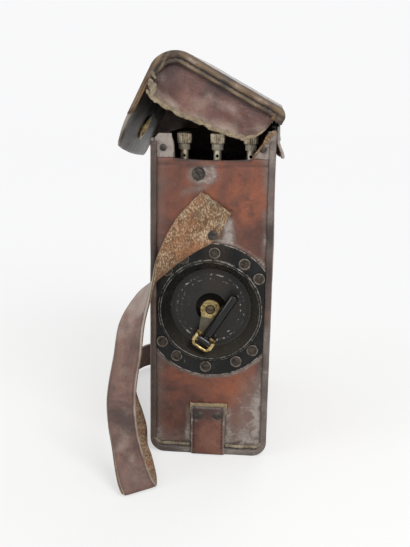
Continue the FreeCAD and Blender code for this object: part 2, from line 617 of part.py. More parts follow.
def lid_leaf(label, wall, depth, along_y, drop):
    """One bent leaf of the lid with its corners rounded."""
    body = slab(label, "XZ_Plane", lid_outline(wall, drop), depth, (0, 0, 0))
    doc.recompute()
    top = size("lid_top") - size("hinge_height")
    front = -size("hinge_side") - size("lid_front")
    softened(body, "lid_radius", along("Y", (front, top)))
    doc.recompute()
    base = body.Tip
    inner = [n for n, e in enumerate(base.Shape.Edges, 1)
             if along("Y", (front + size(wall) * (1 + math.tan(math.radians(size("lid_lean")))),
                            top - size(wall)))(e)]
    fillet = body.newObject("PartDesign::Fillet", label + "_inner_round")
    fillet.Base = (base, ["Edge%d" % n for n in inner])
    fillet.setExpression("Radius", formula("lid_radius - " + wall))
    softened_back = along("Y", (0, top))
    doc.recompute()
    base = body.Tip
    back = [n for n, e in enumerate(base.Shape.Edges, 1) if softened_back(e)]
    round_back = body.newObject("PartDesign::Fillet", label + "_back_round")
    round_back.Base = (base, ["Edge%d" % n for n in back])
    round_back.setExpression("Radius", formula("back_lip - 1"))
    return place(body, (0, along_y, 0))


def on_lid(item):
    """Swing a piece made about the hinge to where the lid stands at rest."""
    place(item, HINGE, ABOUT_HINGE)
    return swing(item, "lid_open")


def eyelet_spot():
    """The closure eyelet's middle on the flap's outer face, about the hinge."""
    return ("-hinge_side - lid_front + eyelet_down*tan(lid_lean)",
            "lid_top - hinge_height - eyelet_down")


# the gussets' lower edges: distance from the hinge, and share of the whole drop
NEAR_FOOT = ((95, 0.985), (70, 1), (57, 0.93), (43, 0.905), (30, 0.845), (20, 0.78), (13, 0.64),
             (8.5, 0.43), (7, 0.16))               # torn short
FAR_FOOT = ((94, 0.93), (80, 1), (60, 0.93), (40, 0.8), (25, 0.66), (14, 0.46), (8, 0.27),
            (7, 0.1))                              # whole


def gusset(name, side, foot, drop):
    """The leather that closes the lid's end between its top and its flap."""
    top = "(lid_top - hinge_height - leather)"
    front = "(-hinge_side - lid_front + leather + gusset_seat)"
    down = "(%s*%g)" % (drop, foot[0][1]*0.9)
    loop = [("-leather", top), (front, top), ("%s + %s*tan(lid_lean)" % (front, down),
                                              "%s - %s" % (top, down))]
    loop += [("-%g" % across, "%s - %s*%g" % (top, drop, share)) for across, share in foot]
    loop.append(("-leather", "%s - %s*%g" % (top, drop, foot[-1][1])))
    at = "%s(lid_depth/2 - lid_welt - gusset_sheet/2)" % side
    body = slab(name, "XZ_Plane", loop, "gusset_sheet", (0, at, 0))
    corner = (size("leather") + size("gusset_seat") - size("hinge_side") - size("lid_front"),
              size("lid_top") - size("hinge_height") - size("leather"))
    return softened(body, "lid_radius - leather + 2*gusset_seat", along("Y", corner))


def lid():
    """Top and flap in one leaf, border bands, gussets and the closure's eyelet."""
    leaf = lid_leaf("Leaf", "leather", "lid_depth - 2*lid_welt", 0, "flap_middle")
    low, high = "lid_top - hinge_height - flap_middle", "lid_top - hinge_height - flap_length"
    away = []
    for sign in ("-", ""):
        wedge = [(sign + "flap_flat", low), (sign + "flap_shoulder", high),
                 (sign + "(lid_depth)", high), (sign + "(lid_depth)", low + " - 5"),
                 (sign + "flap_flat", low + " - 5")]
        away.append(slab("Flap_wedge", "YZ_Plane", wedge, "2*lid_radius",
                         ("-hinge_side - lid_front + 5", 0, 0)))
    across, up = eyelet_spot()
    hole = rod("Eyelet_hole", (across + " - leather", 0, up),
               "eyelet_high + eyelet_wall + fit_gap", "4*leather", TO_BACK)
    keep(on_lid(cut("Lid_leaf", leaf, *(away + [hole]))), "lid_shell")

    bands = [lid_leaf("Lid_band", "lid_band", "lid_welt", sign + "(lid_depth/2 - lid_welt/2)",
                      "flap_length") for sign in ("-", "")]
    keep(on_lid(group("Lid_bands", bands)), "lid_borders")

    gussets = [gusset("Near_gusset", "-", NEAR_FOOT, "near_gusset_drop"),
               gusset("Far_gusset", "", FAR_FOOT, "far_gusset_drop")]
    keep(on_lid(group("Gussets", gussets)), "lid_gussets")

    tube, rim = "eyelet_high + eyelet_wall", "eyelet_high + eyelet_wall + eyelet_rim"
    loop = [("eyelet_high", "eyelet_proud"), (rim, "eyelet_proud"), (rim, 0), (tube, 0),
            (tube, "-leather"), (rim, "-leather"), (rim, "-leather - eyelet_proud"),
            ("eyelet_high", "-leather - eyelet_proud")]
    x, z = "(%s)" % across, "(%s)" % up
    spot = ("hinge_side + %s*cos(lid_open) + %s*sin(lid_open)" % (x, z), 0,
            "hinge_height - %s*sin(lid_open) + %s*cos(lid_open)" % (x, z))
    eyelet = turned("Eyelet", loop, spot, (0, 1, 0, 1))
    keep(swing(eyelet, "lid_open - 90 - lid_lean"), "closure_eyelet")


def lid_hinge():
    """The strip of leather that the lid bends on, sewn to the case's back."""
    item = block("Hinge_leather", ("case_width/2", "10 - lid_depth/2", "hinge_leather_low"),
                 ("hinge_side - case_width/2 - 0.4", "lid_depth - 20",
                  "hinge_height - hinge_leather_low"))
    keep(item, "hinge_leather")


def closure_staple():
    """The brass loop on the case's front that the flap's eyelet drops over."""
    height = "lid_top - eyelet_down + staple_rise"
    out, in_ = "(-case_width/2 - staple_plate - staple_reach)", "(-case_width/2 - staple_plate)"
    wide, slim = "(staple_half + staple_wire)", "(staple_half - staple_wire)"
    bar = out + " + 2*staple_wire"
    loop = [(in_, wide), (out, wide), (out, "-" + wide), (in_, "-" + wide), (in_, "-" + slim),
            (bar, "-" + slim), (bar, slim), (in_, slim)]
    bow = slab("Bow", "XY_Plane", loop, "2*staple_wire", (0, 0, height))
    plate = block("Staple_plate", (in_, "-staple_plate_width/2",
                                   height + " - staple_plate_height/2"),
                  ("staple_plate", "staple_plate_width", "staple_plate_height"))
    keep(joined("Staple", bow, plate), "closure_staple")


# ---------------------------------------------------------------- carrying strap

DRAWN_TOP, DRAWN_SCREW = 182.3, 231.75     # the heights between which the rows were drawn


def hung(height):
    """A height in the drawn rows, moved with the flange's top and the screw above it."""
    top, screw, foot = size("flange_top"), size("screw_low"), size("strap_thick")/2
    if height > DRAWN_TOP:
        return top + (height - DRAWN_TOP)*(screw - top)/(DRAWN_SCREW - DRAWN_TOP)
    return foot + (height - foot)*(top - foot)/(DRAWN_TOP - foot)


def strap_edges():
    """Both edges of the carrying strap, from its near end round the front to its far end."""
    far = size("case_depth")/2 - size("welt_proud")
    near, left = -far, -size("case_width")/2
    lie = size("strap_thick")/2 + size("fit_gap")
    rows = [
        ((-6.8, near - lie, 225), (16.5, near - lie, 208.5)),
        ((-18, near - lie, 213), (10, near - lie, 195.5)),
        ((-28, near - 2.4, 201.5), (3, near - 2, 184.5)),
        ((-36, near - 6.3, 187), (-12, near - 6.8, 175.5)),
        ((-41, near - 20, 172), (-26, near - 7, 166)),
        ((-42.5, near - 28, 157), (-42, near - 6.5, 153)),
        ((left + 5, near - 30, 147), (left - 6, near - 6.5, 143)),
        ((left + 3.5, near - 31.5, 137), (left - 15.5, near - 10, 132)),
        ((left + 0.5, near - 34.5, 122), (left - 23, near - 20, 117)),
        ((left - 1.1, near - 41, 99.5), (left - 25.5, near - 29, 94)),
        ((left - 3.4, near - 46, 80.6), (left - 28, near - 36, 75)),
        ((left - 3.8, near - 51, 64.4), (left - 28.5, near - 43, 59.5)),
        ((left - 1.8, near - 56, 46.7), (left - 26, near - 50, 43)),
        ((left + 2.4, near - 60, 30.4), (left - 21.5, near - 58.5, 29)),
        ((left + 6.8, near - 62.5, 17.7), (left - 17.5, near - 68, 18)),
        ((left + 11, near - 64.5, 8), (left - 13, near - 77, 8)),
        ((left + 14.5, near - 64, 2.3), (left - 8.5, near - 82, 2.2)),
        ((left + 13.5, near - 54, 1.9), (left - 9.5, near - 71.5, 1.9)),
        ((left + 10, near - 40, 2.4), (left - 14, near - 52, 1.8)),
        ((left + 3.8, near - 19, 4.2), (left - 20.5, near - 27, 1.9)),
        ((left - 2.4, near - 1.5, 6.4), (left - 26, near - 8, 2)),
        ((left - 8, near + 26, 10.5), (left - 31.5, near + 19, 2.3)),
        ((left - 16, near + 49, 15.5), (left - 37, near + 40, 2.5)),
        ((left - 26, near + 76, 20), (left - 42.5, near + 68, 2.6)),
        ((left - 35, 14, 24), (left - 47, 8, 2.4)),
        ((left - 42, far - 50, 26), (left - 50, far - 53, 2)),
        ((left - 46, far - 21, 27), (left - 48, far - 21, 1.8)),
        ((left - 39, far + 9, 27.4), (left - 40.5, far + 10.5, 1.8)),
        ((left - 21, far + 24, 31), (left - 21, far + 28, 5)),
        ((left - 3, far + 31, 48), (left + 1, far + 37, 23)),
        ((left + 11, far + 32, 76), (left + 23, far + 38, 54)),
        ((-28, far + 27, 108), (-6, far + 31, 95)),
        ((-21.5, far + 18, 138), (5.5, far + 19.5, 132)),
        ((-17, far + 7.5, 160), (11, far + 8, 158)),
        ((-15, far + 2.8, 173), (13, far + 2.8, 172)),
        ((-14, far + lie, 184), (14, far + lie, 184)),
        ((-13.5, far + lie, 195), (14.5, far + lie, 195)),
        ((-13, far + lie, 206), (15, far + lie, 206)),
        ((-13, far + lie, 216), (15, far + lie, 216)),
    ]
    return [[(across, along, hung(up)) for across, along, up in row] for row in rows]


def eased(points):
    """The points with one more between each two, on a smooth curve through them all."""
    out = []
    for i, point in enumerate(points[:-1]):
        before, after = points[max(i - 1, 0)], points[i + 1]
        beyond = points[min(i + 2, len(points) - 1)]
        out += [point, (point + after) * 0.5625 - (before + beyond) * 0.0625]
    return out + [points[-1]]


def carrying_strap():
    """One flat strap, riveted to both end panels, that hangs round the front of the case."""
    lefts, rights = ([Vector(*pair[i]) for pair in strap_edges()] for i in (0, 1))
    edges = list(zip(eased(lefts), eased(rights)))
    middles = [(a + b) * 0.5 for a, b in edges]
    wires = []
    for i, (left, right) in enumerate(edges):
        ahead = middles[min(i + 1, len(edges) - 1)] - middles[max(i - 1, 0)]
        across = (right - left).normalize()
        out = across.cross(ahead).normalize() * (size("strap_thick") / 2)
        corners = [left + out, right + out, right - out, left - out]
        wires.append(Part.makePolygon(corners + corners[:1]))
    item = doc.addObject("Part::Feature", "Strap")
    item.Shape = Part.makeLoft(wires, True, True)
    drill = rod("Strap_drill", ("strap_rivet_side", "-case_depth", "strap_rivet_height"),
                "rivet_shank + fit_gap", "2*case_depth", TO_FAR)
    keep(cut("Strap_drilled", item, drill), "carrying_strap")


# ---------------------------------------------------------------- chassis

DECK = "(sole + leather + chassis_sheet)"              # top of the chassis's base


def chassis():
    """Base, two ends, the wall of the handset's well, and the bridge that carries the bell."""
    keep(block("Base", ("-base_half", "-within", "sole + leather"),
               ("2*base_half", "2*within", "chassis_sheet")), "chassis_base")
    side = "chassis_half"
    loop = [("-" + side, DECK), (side, DECK), (side, "chassis_top"), ("-" + side, "chassis_top")]
    screw = ("-frame_screw_side", "frame_screw_height", "screw_shank + fit_gap")
    dish = (0, "crank_height", "dish_radius + chassis_gap")
    at = (0, "-(within - ring_sheet - chassis_sheet/2)", 0)
    near = slab("Near_plate", "XZ_Plane", loop, "chassis_sheet", at, circles=[screw, dish])
    at = (0, "within - chassis_sheet/2", 0)
    far = slab("Far_plate", "XZ_Plane", loop, "chassis_sheet", at, circles=[screw])
    keep(group("Chassis_ends", [near, far]), "chassis_ends")
    wall = "chassis_half"
    keep(block("Partition", ("-" + wall, "partition_place", DECK),
               ("2*" + wall, "partition_sheet", "bench_height - " + DECK)), "well_partition")
    start = "-(within - ring_sheet - chassis_sheet)"
    keep(block("Bridge", ("-" + wall, start, "bridge_height"),
               ("2*" + wall, "partition_place - (%s)" % start, "bridge_sheet")), "bell_bridge")
    panel = block("Bench", ("-" + wall, start, "bench_height"),
                  ("2*" + wall, "partition_place + partition_sheet - (%s)" % start,
                   "bench_sheet"))
    drills = [rod("Post_drill", (x, "-post_place", "bench_height - 1"),
                  "post_radius*0.6 + fit_gap", "bench_sheet + 2") for x in post_sides()]
    keep(cut("Bench_drilled", panel, *drills), "terminal_panel")


def post_sides():
    """Where the three binding posts stand across the panel."""
    return ["post_middle - post_pitch", "post_middle", "post_middle + post_pitch"]


def binding_posts():
    """Three threaded posts on the terminal panel, each with a knurled nut of its own."""
    top = "(bench_height + bench_sheet)"
    posts = []
    for x in post_sides():
        loop = [(0, "-bench_sheet - post_foot_height"),
                ("post_radius*0.6", "-bench_sheet - post_foot_height"),
                ("post_radius*0.6", 0), ("post_foot_radius", 0),
                ("post_foot_radius", "post_foot_height"), ("post_radius", "post_foot_height"),
                ("post_radius", "post_top - %s - post_bevel" % top),
                ("post_radius - post_bevel", "post_top - " + top), (0, "post_top - " + top)]
        post = turned("Post", loop, (x, "-post_place", top))
        hole = rod("Wire_hole", (x, "-post_place - 2*post_radius", "wire_hole_height"),
                   "wire_hole", "4*post_radius", TO_FAR)
        posts.append(cut("Post_drilled", post, hole))
    keep(group("Posts", posts), "binding_posts")
    bore = "post_radius + thread_gap"
    for x, name in zip(post_sides(), ("left", "centre", "right")):
        loop = [(bore, "nut_low"), ("nut_collar", "nut_low"),
                ("nut_collar", "nut_head_low - post_bevel"), ("nut_radius", "nut_head_low"),
                ("nut_radius", "nut_top - post_bevel"), ("nut_radius - post_bevel", "nut_top"),
                (0, "nut_top"), (0, "post_top + 2*thread_gap"),
                (bore, "post_top + 2*thread_gap")]
        keep(turned("Nut_" + name, loop, (x, "-post_place", 0)), "binding_nut_" + name)


# ---------------------------------------------------------------- hand generator

ARMATURE_UP = "(crank_height - armature_drop)"
GEAR_PLACE = "-(near_plate + plate_sheet/2 + gear_face/2 + gear_off)"


def gear(name, teeth, bore, at, half_pitch):
    """A spur gear: a blank with one tooth repeated round it, its first tooth upright."""
    body = doc.addObject("PartDesign::Body", name)
    pitch = "(gear_module*%s/2)" % teeth
    root, tip = "(%s - 1.25*gear_module)" % pitch, "(%s + 0.88*gear_module)" % pitch
    corners = [(root + "*cos(%d)" % a, root + "*sin(%d)" % a) for a in range(0, 360, 15)]
    blank = drawing(body, "XZ_Plane", [corners], [(0, 0, bore)])
    pad = body.newObject("PartDesign::Pad", name + "_blank")
    pad.Profile = blank
    pad.SideType = "Symmetric"
    pad.setExpression("Length", formula("gear_face"))
    doc.recompute()
    flank = "gear_module*pi/4 - gear_gap/2"
    outline = [("-(%s) - 0.3" % flank, root + " - 0.5"), ("%s + 0.3" % flank, root + " - 0.5"),
               ("%s - 0.06" % flank, pitch), ("(%s)*0.42" % flank, tip),
               ("-(%s)*0.42" % flank, tip), ("-(%s) + 0.06" % flank, pitch)]
    page = drawing(body, "XZ_Plane", [outline])
    tooth = body.newObject("PartDesign::Pad", name + "_tooth")
    tooth.Profile = page
    tooth.SideType = "Symmetric"
    tooth.setExpression("Length", formula("gear_face"))
    doc.recompute()
    ring = body.newObject("PartDesign::PolarPattern", name + "_teeth")
    ring.Originals = [tooth]
    ring.Axis = (page, ["N_Axis"])
    ring.Angle = 360
    ring.setExpression("Occurrences", formula(teeth))
    body.Tip = ring
    place(body, at, (0, 1, 0, 1))
    return swing(body, "180/%s" % teeth if half_pitch else "0")


def generator():
    """Two bearing plates, three horseshoe magnets on pole pieces, and the armature between."""
    side = "plate_half"
    loop = [("-" + side, DECK), (side, DECK), (side, "plate_top - plate_corner"),
            (side + " - plate_corner", "plate_top"), ("plate_corner - " + side, "plate_top"),
            ("-" + side, "plate_top - plate_corner")]
    small = "armature_shaft + bush_wall"
    holes = [(0, "crank_height", "bush_radius"), (0, ARMATURE_UP, small)]
    plates, bushes = [], []
    for y in ("near_plate", "far_plate"):
        plates.append(slab("Plate", "XZ_Plane", loop, "plate_sheet", (0, "-" + y, 0),
                           circles=holes))
        start = "-%s - plate_sheet/2" % y
        for up, outer, shaft in (("crank_height", "bush_radius", "shaft_radius"),
                                 (ARMATURE_UP, small, "armature_shaft")):
            blank = rod("Bush", (0, start, up), outer, "plate_sheet", TO_FAR)
            bore = rod("Bush_bore", (0, start, up), shaft + " + running_gap", "plate_sheet", TO_FAR)
            bushes.append(cut("Bush_bored", blank, bore))
    keep(group("Plates", plates), "generator_plates")
    keep(group("Bushes", bushes), "generator_bushes")

    thick = "(magnet_half - magnet_inside)"
    bow = [("-magnet_half", "magnet_bottom"), ("-magnet_inside", "magnet_bottom"),
           ("-magnet_inside", "magnet_top - " + thick), ("magnet_inside", "magnet_top - " + thick),
           ("magnet_inside", "magnet_bottom"), ("magnet_half", "magnet_bottom"),
           ("magnet_half", "magnet_top"), ("-magnet_half", "magnet_top")]
    magnets = []
    for step in (-1, 0, 1):
        at = (0, "-magnet_middle + %d*magnet_pitch" % step, 0)
        magnet = slab("Magnet", "XZ_Plane", bow, "magnet_width", at)
        half, top = size("magnet_half"), size("magnet_top")
        softened(magnet, "magnet_half - 2*fit_gap", along("Y", (-half, top), (half, top)))
        magnets.append(magnet)
        inner, low = size("magnet_inside"), top - half + size("magnet_inside")
        chosen = along("Y", (-inner, low), (inner, low))
        doc.recompute()
        base = magnet.Tip
        fillet = magnet.newObject("PartDesign::Fillet", "Magnet_inner_round")
        fillet.Base = (base, ["Edge%d" % n for n, e in enumerate(base.Shape.Edges, 1)
                              if chosen(e)])
        fillet.setExpression("Radius", formula("magnet_inside - 2*fit_gap"))
    keep(group("Magnets", magnets), "generator_magnets")

    start, length = "-near_plate + plate_sheet/2", "near_plate - far_plate - plate_sheet"
    shoes = []
    for low in ("-magnet_inside", "magnet_inside - pole_thick"):
        shoe = block("Shoe", (low, start, ARMATURE_UP + " - pole_half_height"),
                     ("pole_thick", length, "2*pole_half_height"))
        hollow = rod("Shoe_bore", (0, start, ARMATURE_UP), "armature_radius + pole_gap", length,
                     TO_FAR)
        shoes.append(cut("Shoe_bored", shoe, hollow))
    keep(group("Shoes", shoes), "pole_pieces")
    rods = [rod("Tie_rod", (x, start, z), "tie_rod", length, TO_FAR)
            for x, z in (("tie_rod_inset - magnet_inside", "crank_height + tie_rod_inset"),
                         ("magnet_inside - tie_rod_inset", "crank_height + tie_rod_inset"),
                         ("-magnet_inside - 2*tie_rod", "magnet_bottom - 3*tie_rod"),
                         ("magnet_inside + 2*tie_rod", "magnet_bottom - 3*tie_rod"))]
    keep(group("Tie_rods", rods), "generator_tie_rods")

    keep(gear("Drive_gear", "gear_teeth", "shaft_radius + fit_gap/2",
              (0, GEAR_PLACE, "crank_height"), False), "drive_gear")
    keep(gear("Pinion", "pinion_teeth", "armature_shaft + fit_gap/2",
              (0, GEAR_PLACE, ARMATURE_UP), True), "armature_pinion")
    spin = rod("Spindle", (0, GEAR_PLACE + " - gear_face/2 - 1", ARMATURE_UP), "armature_shaft",
               "near_plate - far_plate + plate_sheet + gear_face + 5", TO_FAR)
    keep(spin, "armature_shaft")
    start, length = start + " + end_play", length + " - 2*end_play"
    core = rod("Core", (0, start, ARMATURE_UP), "armature_radius", length, TO_FAR)
    slots = [block("Core_slot", (low, start, ARMATURE_UP + " - armature_radius*0.6"),
                   ("armature_radius", length, "armature_radius*1.2"))
             for low in ("armature_radius*0.35", "-armature_radius*1.35")]
    bore = rod("Core_bore", (0, start, ARMATURE_UP), "armature_shaft + fit_gap/2", length, TO_FAR)
    keep(cut("Core_cut", core, bore, *slots), "armature_core")
    coils = []
    for low in ("armature_radius*0.35", "-armature_radius*0.35 - armature_radius*0.5"):
        coils.append(block("Winding", (low, start + " + 2", ARMATURE_UP + " - armature_radius*0.5"),
                           ("armature_radius*0.5", length + " - 4", "armature_radius")))
    keep(group("Windings", coils), "armature_windings")
    rear, base = "-far_plate + plate_sheet/2", ARMATURE_UP + " - contact_over"
    foot = block("Contact_foot", ("-contact_width/2", rear, base + " + contact_length*3/4"),
                 ("contact_width", "contact_foot", "contact_length/4"))
    blade = block("Contact_blade", ("-contact_width/2", rear + " + contact_foot - contact_sheet",
                                    base), ("contact_width", "contact_sheet", "contact_length"))
    spring = joined("Contact", foot, blade)
    keep(spring, "contact_spring")


# ---------------------------------------------------------------- bell

def bell():
    """A polarised bell: two coils, a rocker with its clapper, and two gongs on posts."""
    deck = "(bridge_height + bridge_sheet)"
    foot = "(%s + yoke_sheet)" % deck
    yoke = block("Yoke", ("-coil_side - coil_radius", "-coil_place - yoke_half", deck),
                 ("2*(coil_side + coil_radius)", "2*yoke_half", "yoke_sheet"))
    spools, cores, gongs, posts = [], [], [], []
    cheek, hole = "coil_radius + cheek_lip", "core_radius + fit_gap/2"
    loop = [(hole, 0), (cheek, 0), (cheek, "cheek_sheet"), ("coil_radius", "cheek_sheet"),
            ("coil_radius", "coil_height - cheek_sheet"), (cheek, "coil_height - cheek_sheet"),
            (cheek, "coil_height"), (hole, "coil_height")]
    outer = [("gong_radius*cos(%d)" % a, "gong_height*sin(%d)" % a) for a in range(0, 91, 15)]
    inner = [("(gong_radius - gong_sheet)*cos(%d)" % a, "(gong_height - gong_sheet)*sin(%d)" % a)
             for a in range(90, -1, -15)]
    for side in ("-", ""):
        spools.append(turned("Spool", loop, (side + "coil_side", "-coil_place", foot)))
        cores.append(rod("Bell_core", (side + "coil_side", "-coil_place", deck), "core_radius",
                         "yoke_sheet + coil_height + core_proud"))
        spot = (side + "gong_side", "-gong_place", "gong_rim")
        gongs.append(turned("Gong", outer + inner, spot))
        posts.append(rod("Gong_post", (side + "gong_side", "-gong_place", deck), "gong_post",
                         "gong_rim + gong_height - gong_sheet - 4*fit_gap - " + deck))
    keep(group("Spools", spools), "bell_coils")
    keep(joined("Bell_magnet", yoke, *cores), "bell_magnet")
    keep(group("Gongs", gongs), "bell_gongs")
    keep(group("Gong_posts", posts), "gong_posts")

    hub, wide = "(rocker_pin + rocker_gap + rocker_sheet/2)", "(rocker_width + 2*rocker_cheek)"
    cheeks = [block("Rocker_cheek", ("-" + hub, "-coil_place + " + y, foot),
                    ("2*" + hub, "rocker_cheek", "rocker_height + %s - %s" % (hub, foot)))
              for y in ("rocker_width/2 + 1", "(-rocker_width/2 - 1 - rocker_cheek)")]
    pin = rod("Rocker_pin", (0, "-coil_place - %s/2 - 1" % wide, "rocker_height"), "rocker_pin",
              wide + " + 2", TO_FAR)
    keep(joined("Rocker_stand", pin, *cheeks), "rocker_stand")
    start = "-coil_place - rocker_width/2"
    bar = block("Bar", ("-rocker_half", start, "rocker_height - rocker_sheet/2"),
                ("2*rocker_half", "rocker_width", "rocker_sheet"))
    boss = rod("Rocker_hub", (0, start, "rocker_height"), hub, "rocker_width", TO_FAR)
    stem = rod("Stem", (0, "-coil_place", "rocker_height + rocker_pin + rocker_gap + 0.6"),
               "stem_radius", "ball_rise - rocker_pin - rocker_gap + 0.6")
    reach = rod("Reach", (0, "ball_radius/2 - gong_place", "ball_height"), "reach_radius",
                "gong_place - coil_place - ball_radius/2 + stem_radius", TO_FAR)
    corner = "ball_radius*0.7"
    ball = turned("Ball", [(0, "-ball_radius"), (corner, "-" + corner), ("ball_radius", 0),
                           (corner, corner), (0, "ball_radius")],
                  (0, "-gong_place", "ball_height"), TO_FAR)
    bore = rod("Rocker_bore", (0, start + " - 1", "rocker_height"), "rocker_pin + rocker_gap",
               "rocker_width + 2", TO_FAR)
    keep(cut("Rocker", joined("Rocker_blank", bar, boss, stem, reach, ball), bore),
         "bell_clapper")


# ---------------------------------------------------------------- battery, coil, condenser

def electrics():
    """Two dry cells with their link, the induction coil and the condenser."""
    cells = []
    loop = [(0, 0), ("cell_radius", 0), ("cell_radius", "cell_height"),
            ("cap_radius", "cell_height"), ("cap_radius", "cell_height + cap_height"),
            (0, "cell_height + cap_height")]
    for side in ("-", ""):
        cells.append(turned("Cell", loop, (side + "cell_side", "cell_place", DECK)))
    keep(group("Cells", cells), "dry_cells")
    keep(block("Link", ("-cell_side - cap_radius", "cell_place - link_width/2",
                        DECK + " + cell_height + cap_height"),
               ("2*cell_side + 2*cap_radius", "link_width", "link_sheet")), "cell_link")
    radius, lip = "induction_radius", "induction_radius + induction_lip"
    near, far = "induction_cheek", "induction_length - induction_cheek"
    loop = [(0, 0), (lip, 0), (lip, near), (radius, near), (radius, far), (lip, far),
            (lip, "induction_length"), (0, "induction_length")]
    at = (0, "-far_plate - induction_gap", "%s + %s" % (DECK, lip))
    keep(turned("Induction_coil", loop, at, TO_NEAR), "induction_coil")
    keep(block("Condenser", ("-condenser_half", "partition_place - condenser_depth",
                             "bridge_height + bridge_sheet"),
               ("2*condenser_half", "condenser_depth", "condenser_height")), "condenser")


# ---------------------------------------------------------------- handset

def handset():
    """A handset that stands in the well: handle, two capsule shells with caps, talk button."""
    start = "handset_middle - capsule_depth/2"
    shells, capsules, caps = [], [], []
    for up in ("receiver_height", "transmitter_height"):
        radius, deep = "capsule_radius", "capsule_depth"
        shell = [(0, 0), (radius + "*0.7", 0), (radius, deep + "*0.35"), (radius, deep),
                 (radius + " - shell_wall", deep), (radius + " - shell_wall", deep + "*0.45"),
                 (0, deep + "*0.45")]
        shells.append(turned("Shell", shell, (start, "handset_place", up), TO_BACK))
        edge = radius + " - shell_wall - 5*fit_gap"
        inset = [(0, deep + "*0.45"), (edge, deep + "*0.45"), (edge, deep + " - 1"),
                 (0, deep + " - 1")]
        capsules.append(turned("Capsule", inset, (start, "handset_place", up), TO_BACK))
        rim, thick = "ear_cap_radius", "ear_cap_depth"
        cap = [("sound_hole", thick + "*0.35"), (rim + "*0.7", thick), (rim, thick + "*0.6"),
               (rim, 0), ("sound_hole", 0)]
        at = (start + " + " + deep, "handset_place", up)
        caps.append(turned("Cap", cap, at, TO_BACK))
    keep(group("Shells", shells), "handset_shells")
    keep(group("Capsules", capsules), "handset_capsules")
    keep(group("Caps", caps), "handset_caps")

    low, high = "transmitter_height + capsule_radius*0.85", "receiver_height - capsule_radius*0.85"
    grip = rod("Handle_rod", ("handset_middle", "handset_place", low), "handle_radius",
               "%s - (%s)" % (high, low))
    clear = [rod("Shell_seat", ("-case_width", "handset_place", up), "capsule_radius",
                 "2*case_width", TO_BACK) for up in ("receiver_height", "transmitter_height")]
    face = "(handset_middle - handle_radius)"
    slot = block("Button_slot", (face + " - 5", "handset_place - button_width/2 - button_gap",
                                 "button_height - button_length/2 - button_gap"),
                 ("5 + button_travel + button_gap + button_root",
                  "button_width + 2*button_gap", "button_length + 2*button_gap"))
    keep(cut("Handset_handle", grip, slot, *clear), "handset_handle")
    button = block("Button", (face + " - button_proud", "handset_place - button_width/2",
                              "button_height - button_length/2"),
                   ("button_proud + button_root", "button_width", "button_length"))
    keep(button, "talk_button")


# ---------------------------------------------------------------- build, check and write

STEPS = (case_wrap, end_panels, end_welts, base_strap, case_rivets, frame_screws, crank_flange,
         crank, crank_handle, lid, lid_hinge, closure_staple, carrying_strap, chassis,
         binding_posts, generator, bell, electrics, handset)


def main():
    for step in STEPS:
        step()
    doc.recompute()
    failed = [item.Name for item in doc.Objects
              if "Invalid" in item.State or "Error" in item.State]
    if failed:
        raise RuntimeError("did not build: " + ", ".join(failed))
    for part in parts:
        shape = part.Shape
        if shape.isNull() or not shape.isValid() or not shape.Solids:
            raise RuntimeError("bad shape: " + part.Label)
    os.makedirs("parts", exist_ok=True)
    for part in parts:
        part.Shape.exportStep("parts/%s.step" % part.Label)
        print("%-22s %2d solids %10.1f mm3" % (part.Label, len(part.Shape.Solids),
                                               part.Shape.Volume))


main()
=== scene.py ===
"""Looks of the leather-cased field telephone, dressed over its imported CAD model.

Lengths are in millimetres until a mesh is made. The frame is the CAD's: +Z up, -Y towards the
crank, +X towards the back, where the lid is hinged. The lid's own pieces are drawn about its
hinge, as the lid lies when shut, and then swung to where it stands at rest. Near and far are as
the photo's camera sees them: the near end is the one with the crank.
"""

import json
import math

import bpy
import numpy as np
from mathutils import Matrix, Vector, noise


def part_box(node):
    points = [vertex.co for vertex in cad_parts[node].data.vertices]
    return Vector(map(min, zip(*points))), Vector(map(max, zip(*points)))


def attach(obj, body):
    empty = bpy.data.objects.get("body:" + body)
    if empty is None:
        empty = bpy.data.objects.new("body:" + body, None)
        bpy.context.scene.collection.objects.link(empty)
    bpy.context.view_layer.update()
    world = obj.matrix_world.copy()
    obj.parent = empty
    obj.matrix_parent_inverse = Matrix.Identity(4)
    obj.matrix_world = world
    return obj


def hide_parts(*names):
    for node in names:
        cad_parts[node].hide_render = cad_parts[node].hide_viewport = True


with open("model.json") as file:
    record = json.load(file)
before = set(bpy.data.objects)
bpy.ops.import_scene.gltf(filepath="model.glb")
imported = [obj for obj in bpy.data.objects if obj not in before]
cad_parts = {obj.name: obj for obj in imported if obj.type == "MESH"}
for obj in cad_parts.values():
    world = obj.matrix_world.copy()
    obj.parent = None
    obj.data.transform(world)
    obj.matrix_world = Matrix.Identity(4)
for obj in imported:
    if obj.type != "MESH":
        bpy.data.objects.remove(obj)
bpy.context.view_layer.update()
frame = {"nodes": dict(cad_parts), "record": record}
MM = 0.001


def low(node, axis):
    """One coordinate of a CAD node's lowest corner, in millimetres."""
    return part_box(node)[0][axis] / MM


def high(node, axis):
    """One coordinate of a CAD node's highest corner, in millimetres."""
    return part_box(node)[1][axis] / MM


def centre_of(node, axis):
    """One coordinate of the middle of a CAD node's box, in millimetres."""
    return (low(node, axis) + high(node, axis)) / 2


# ---------------------------------------------------------------- sizes read from the frame

HALF = high("case_wrap", 0)                    # half the case's width
FACE = high("far_panel", 1)                    # how far out the end panels' faces lie
LEATHER = FACE - low("far_panel", 1)
SOLE = low("case_wrap", 2)
BACK_TOP = high("case_wrap", 2)
FRONT_TOP = high("end_welts", 2) - 6
CORNER = 12
WELT_WIDTH = 5
WELT_OUT = high("end_welts", 1)
CRANK_Z = centre_of("crank_flange", 2)
HINGE = Vector((52, 0, 275))
LID_OPEN = math.radians(28.5)
LID_TOP = 12.5                                 # above the hinge when shut
LID_FRONT = -109                               # the lid's front, about the hinge
LID_HALF = high("lid_borders", 1)


# ---------------------------------------------------------------- node graphs

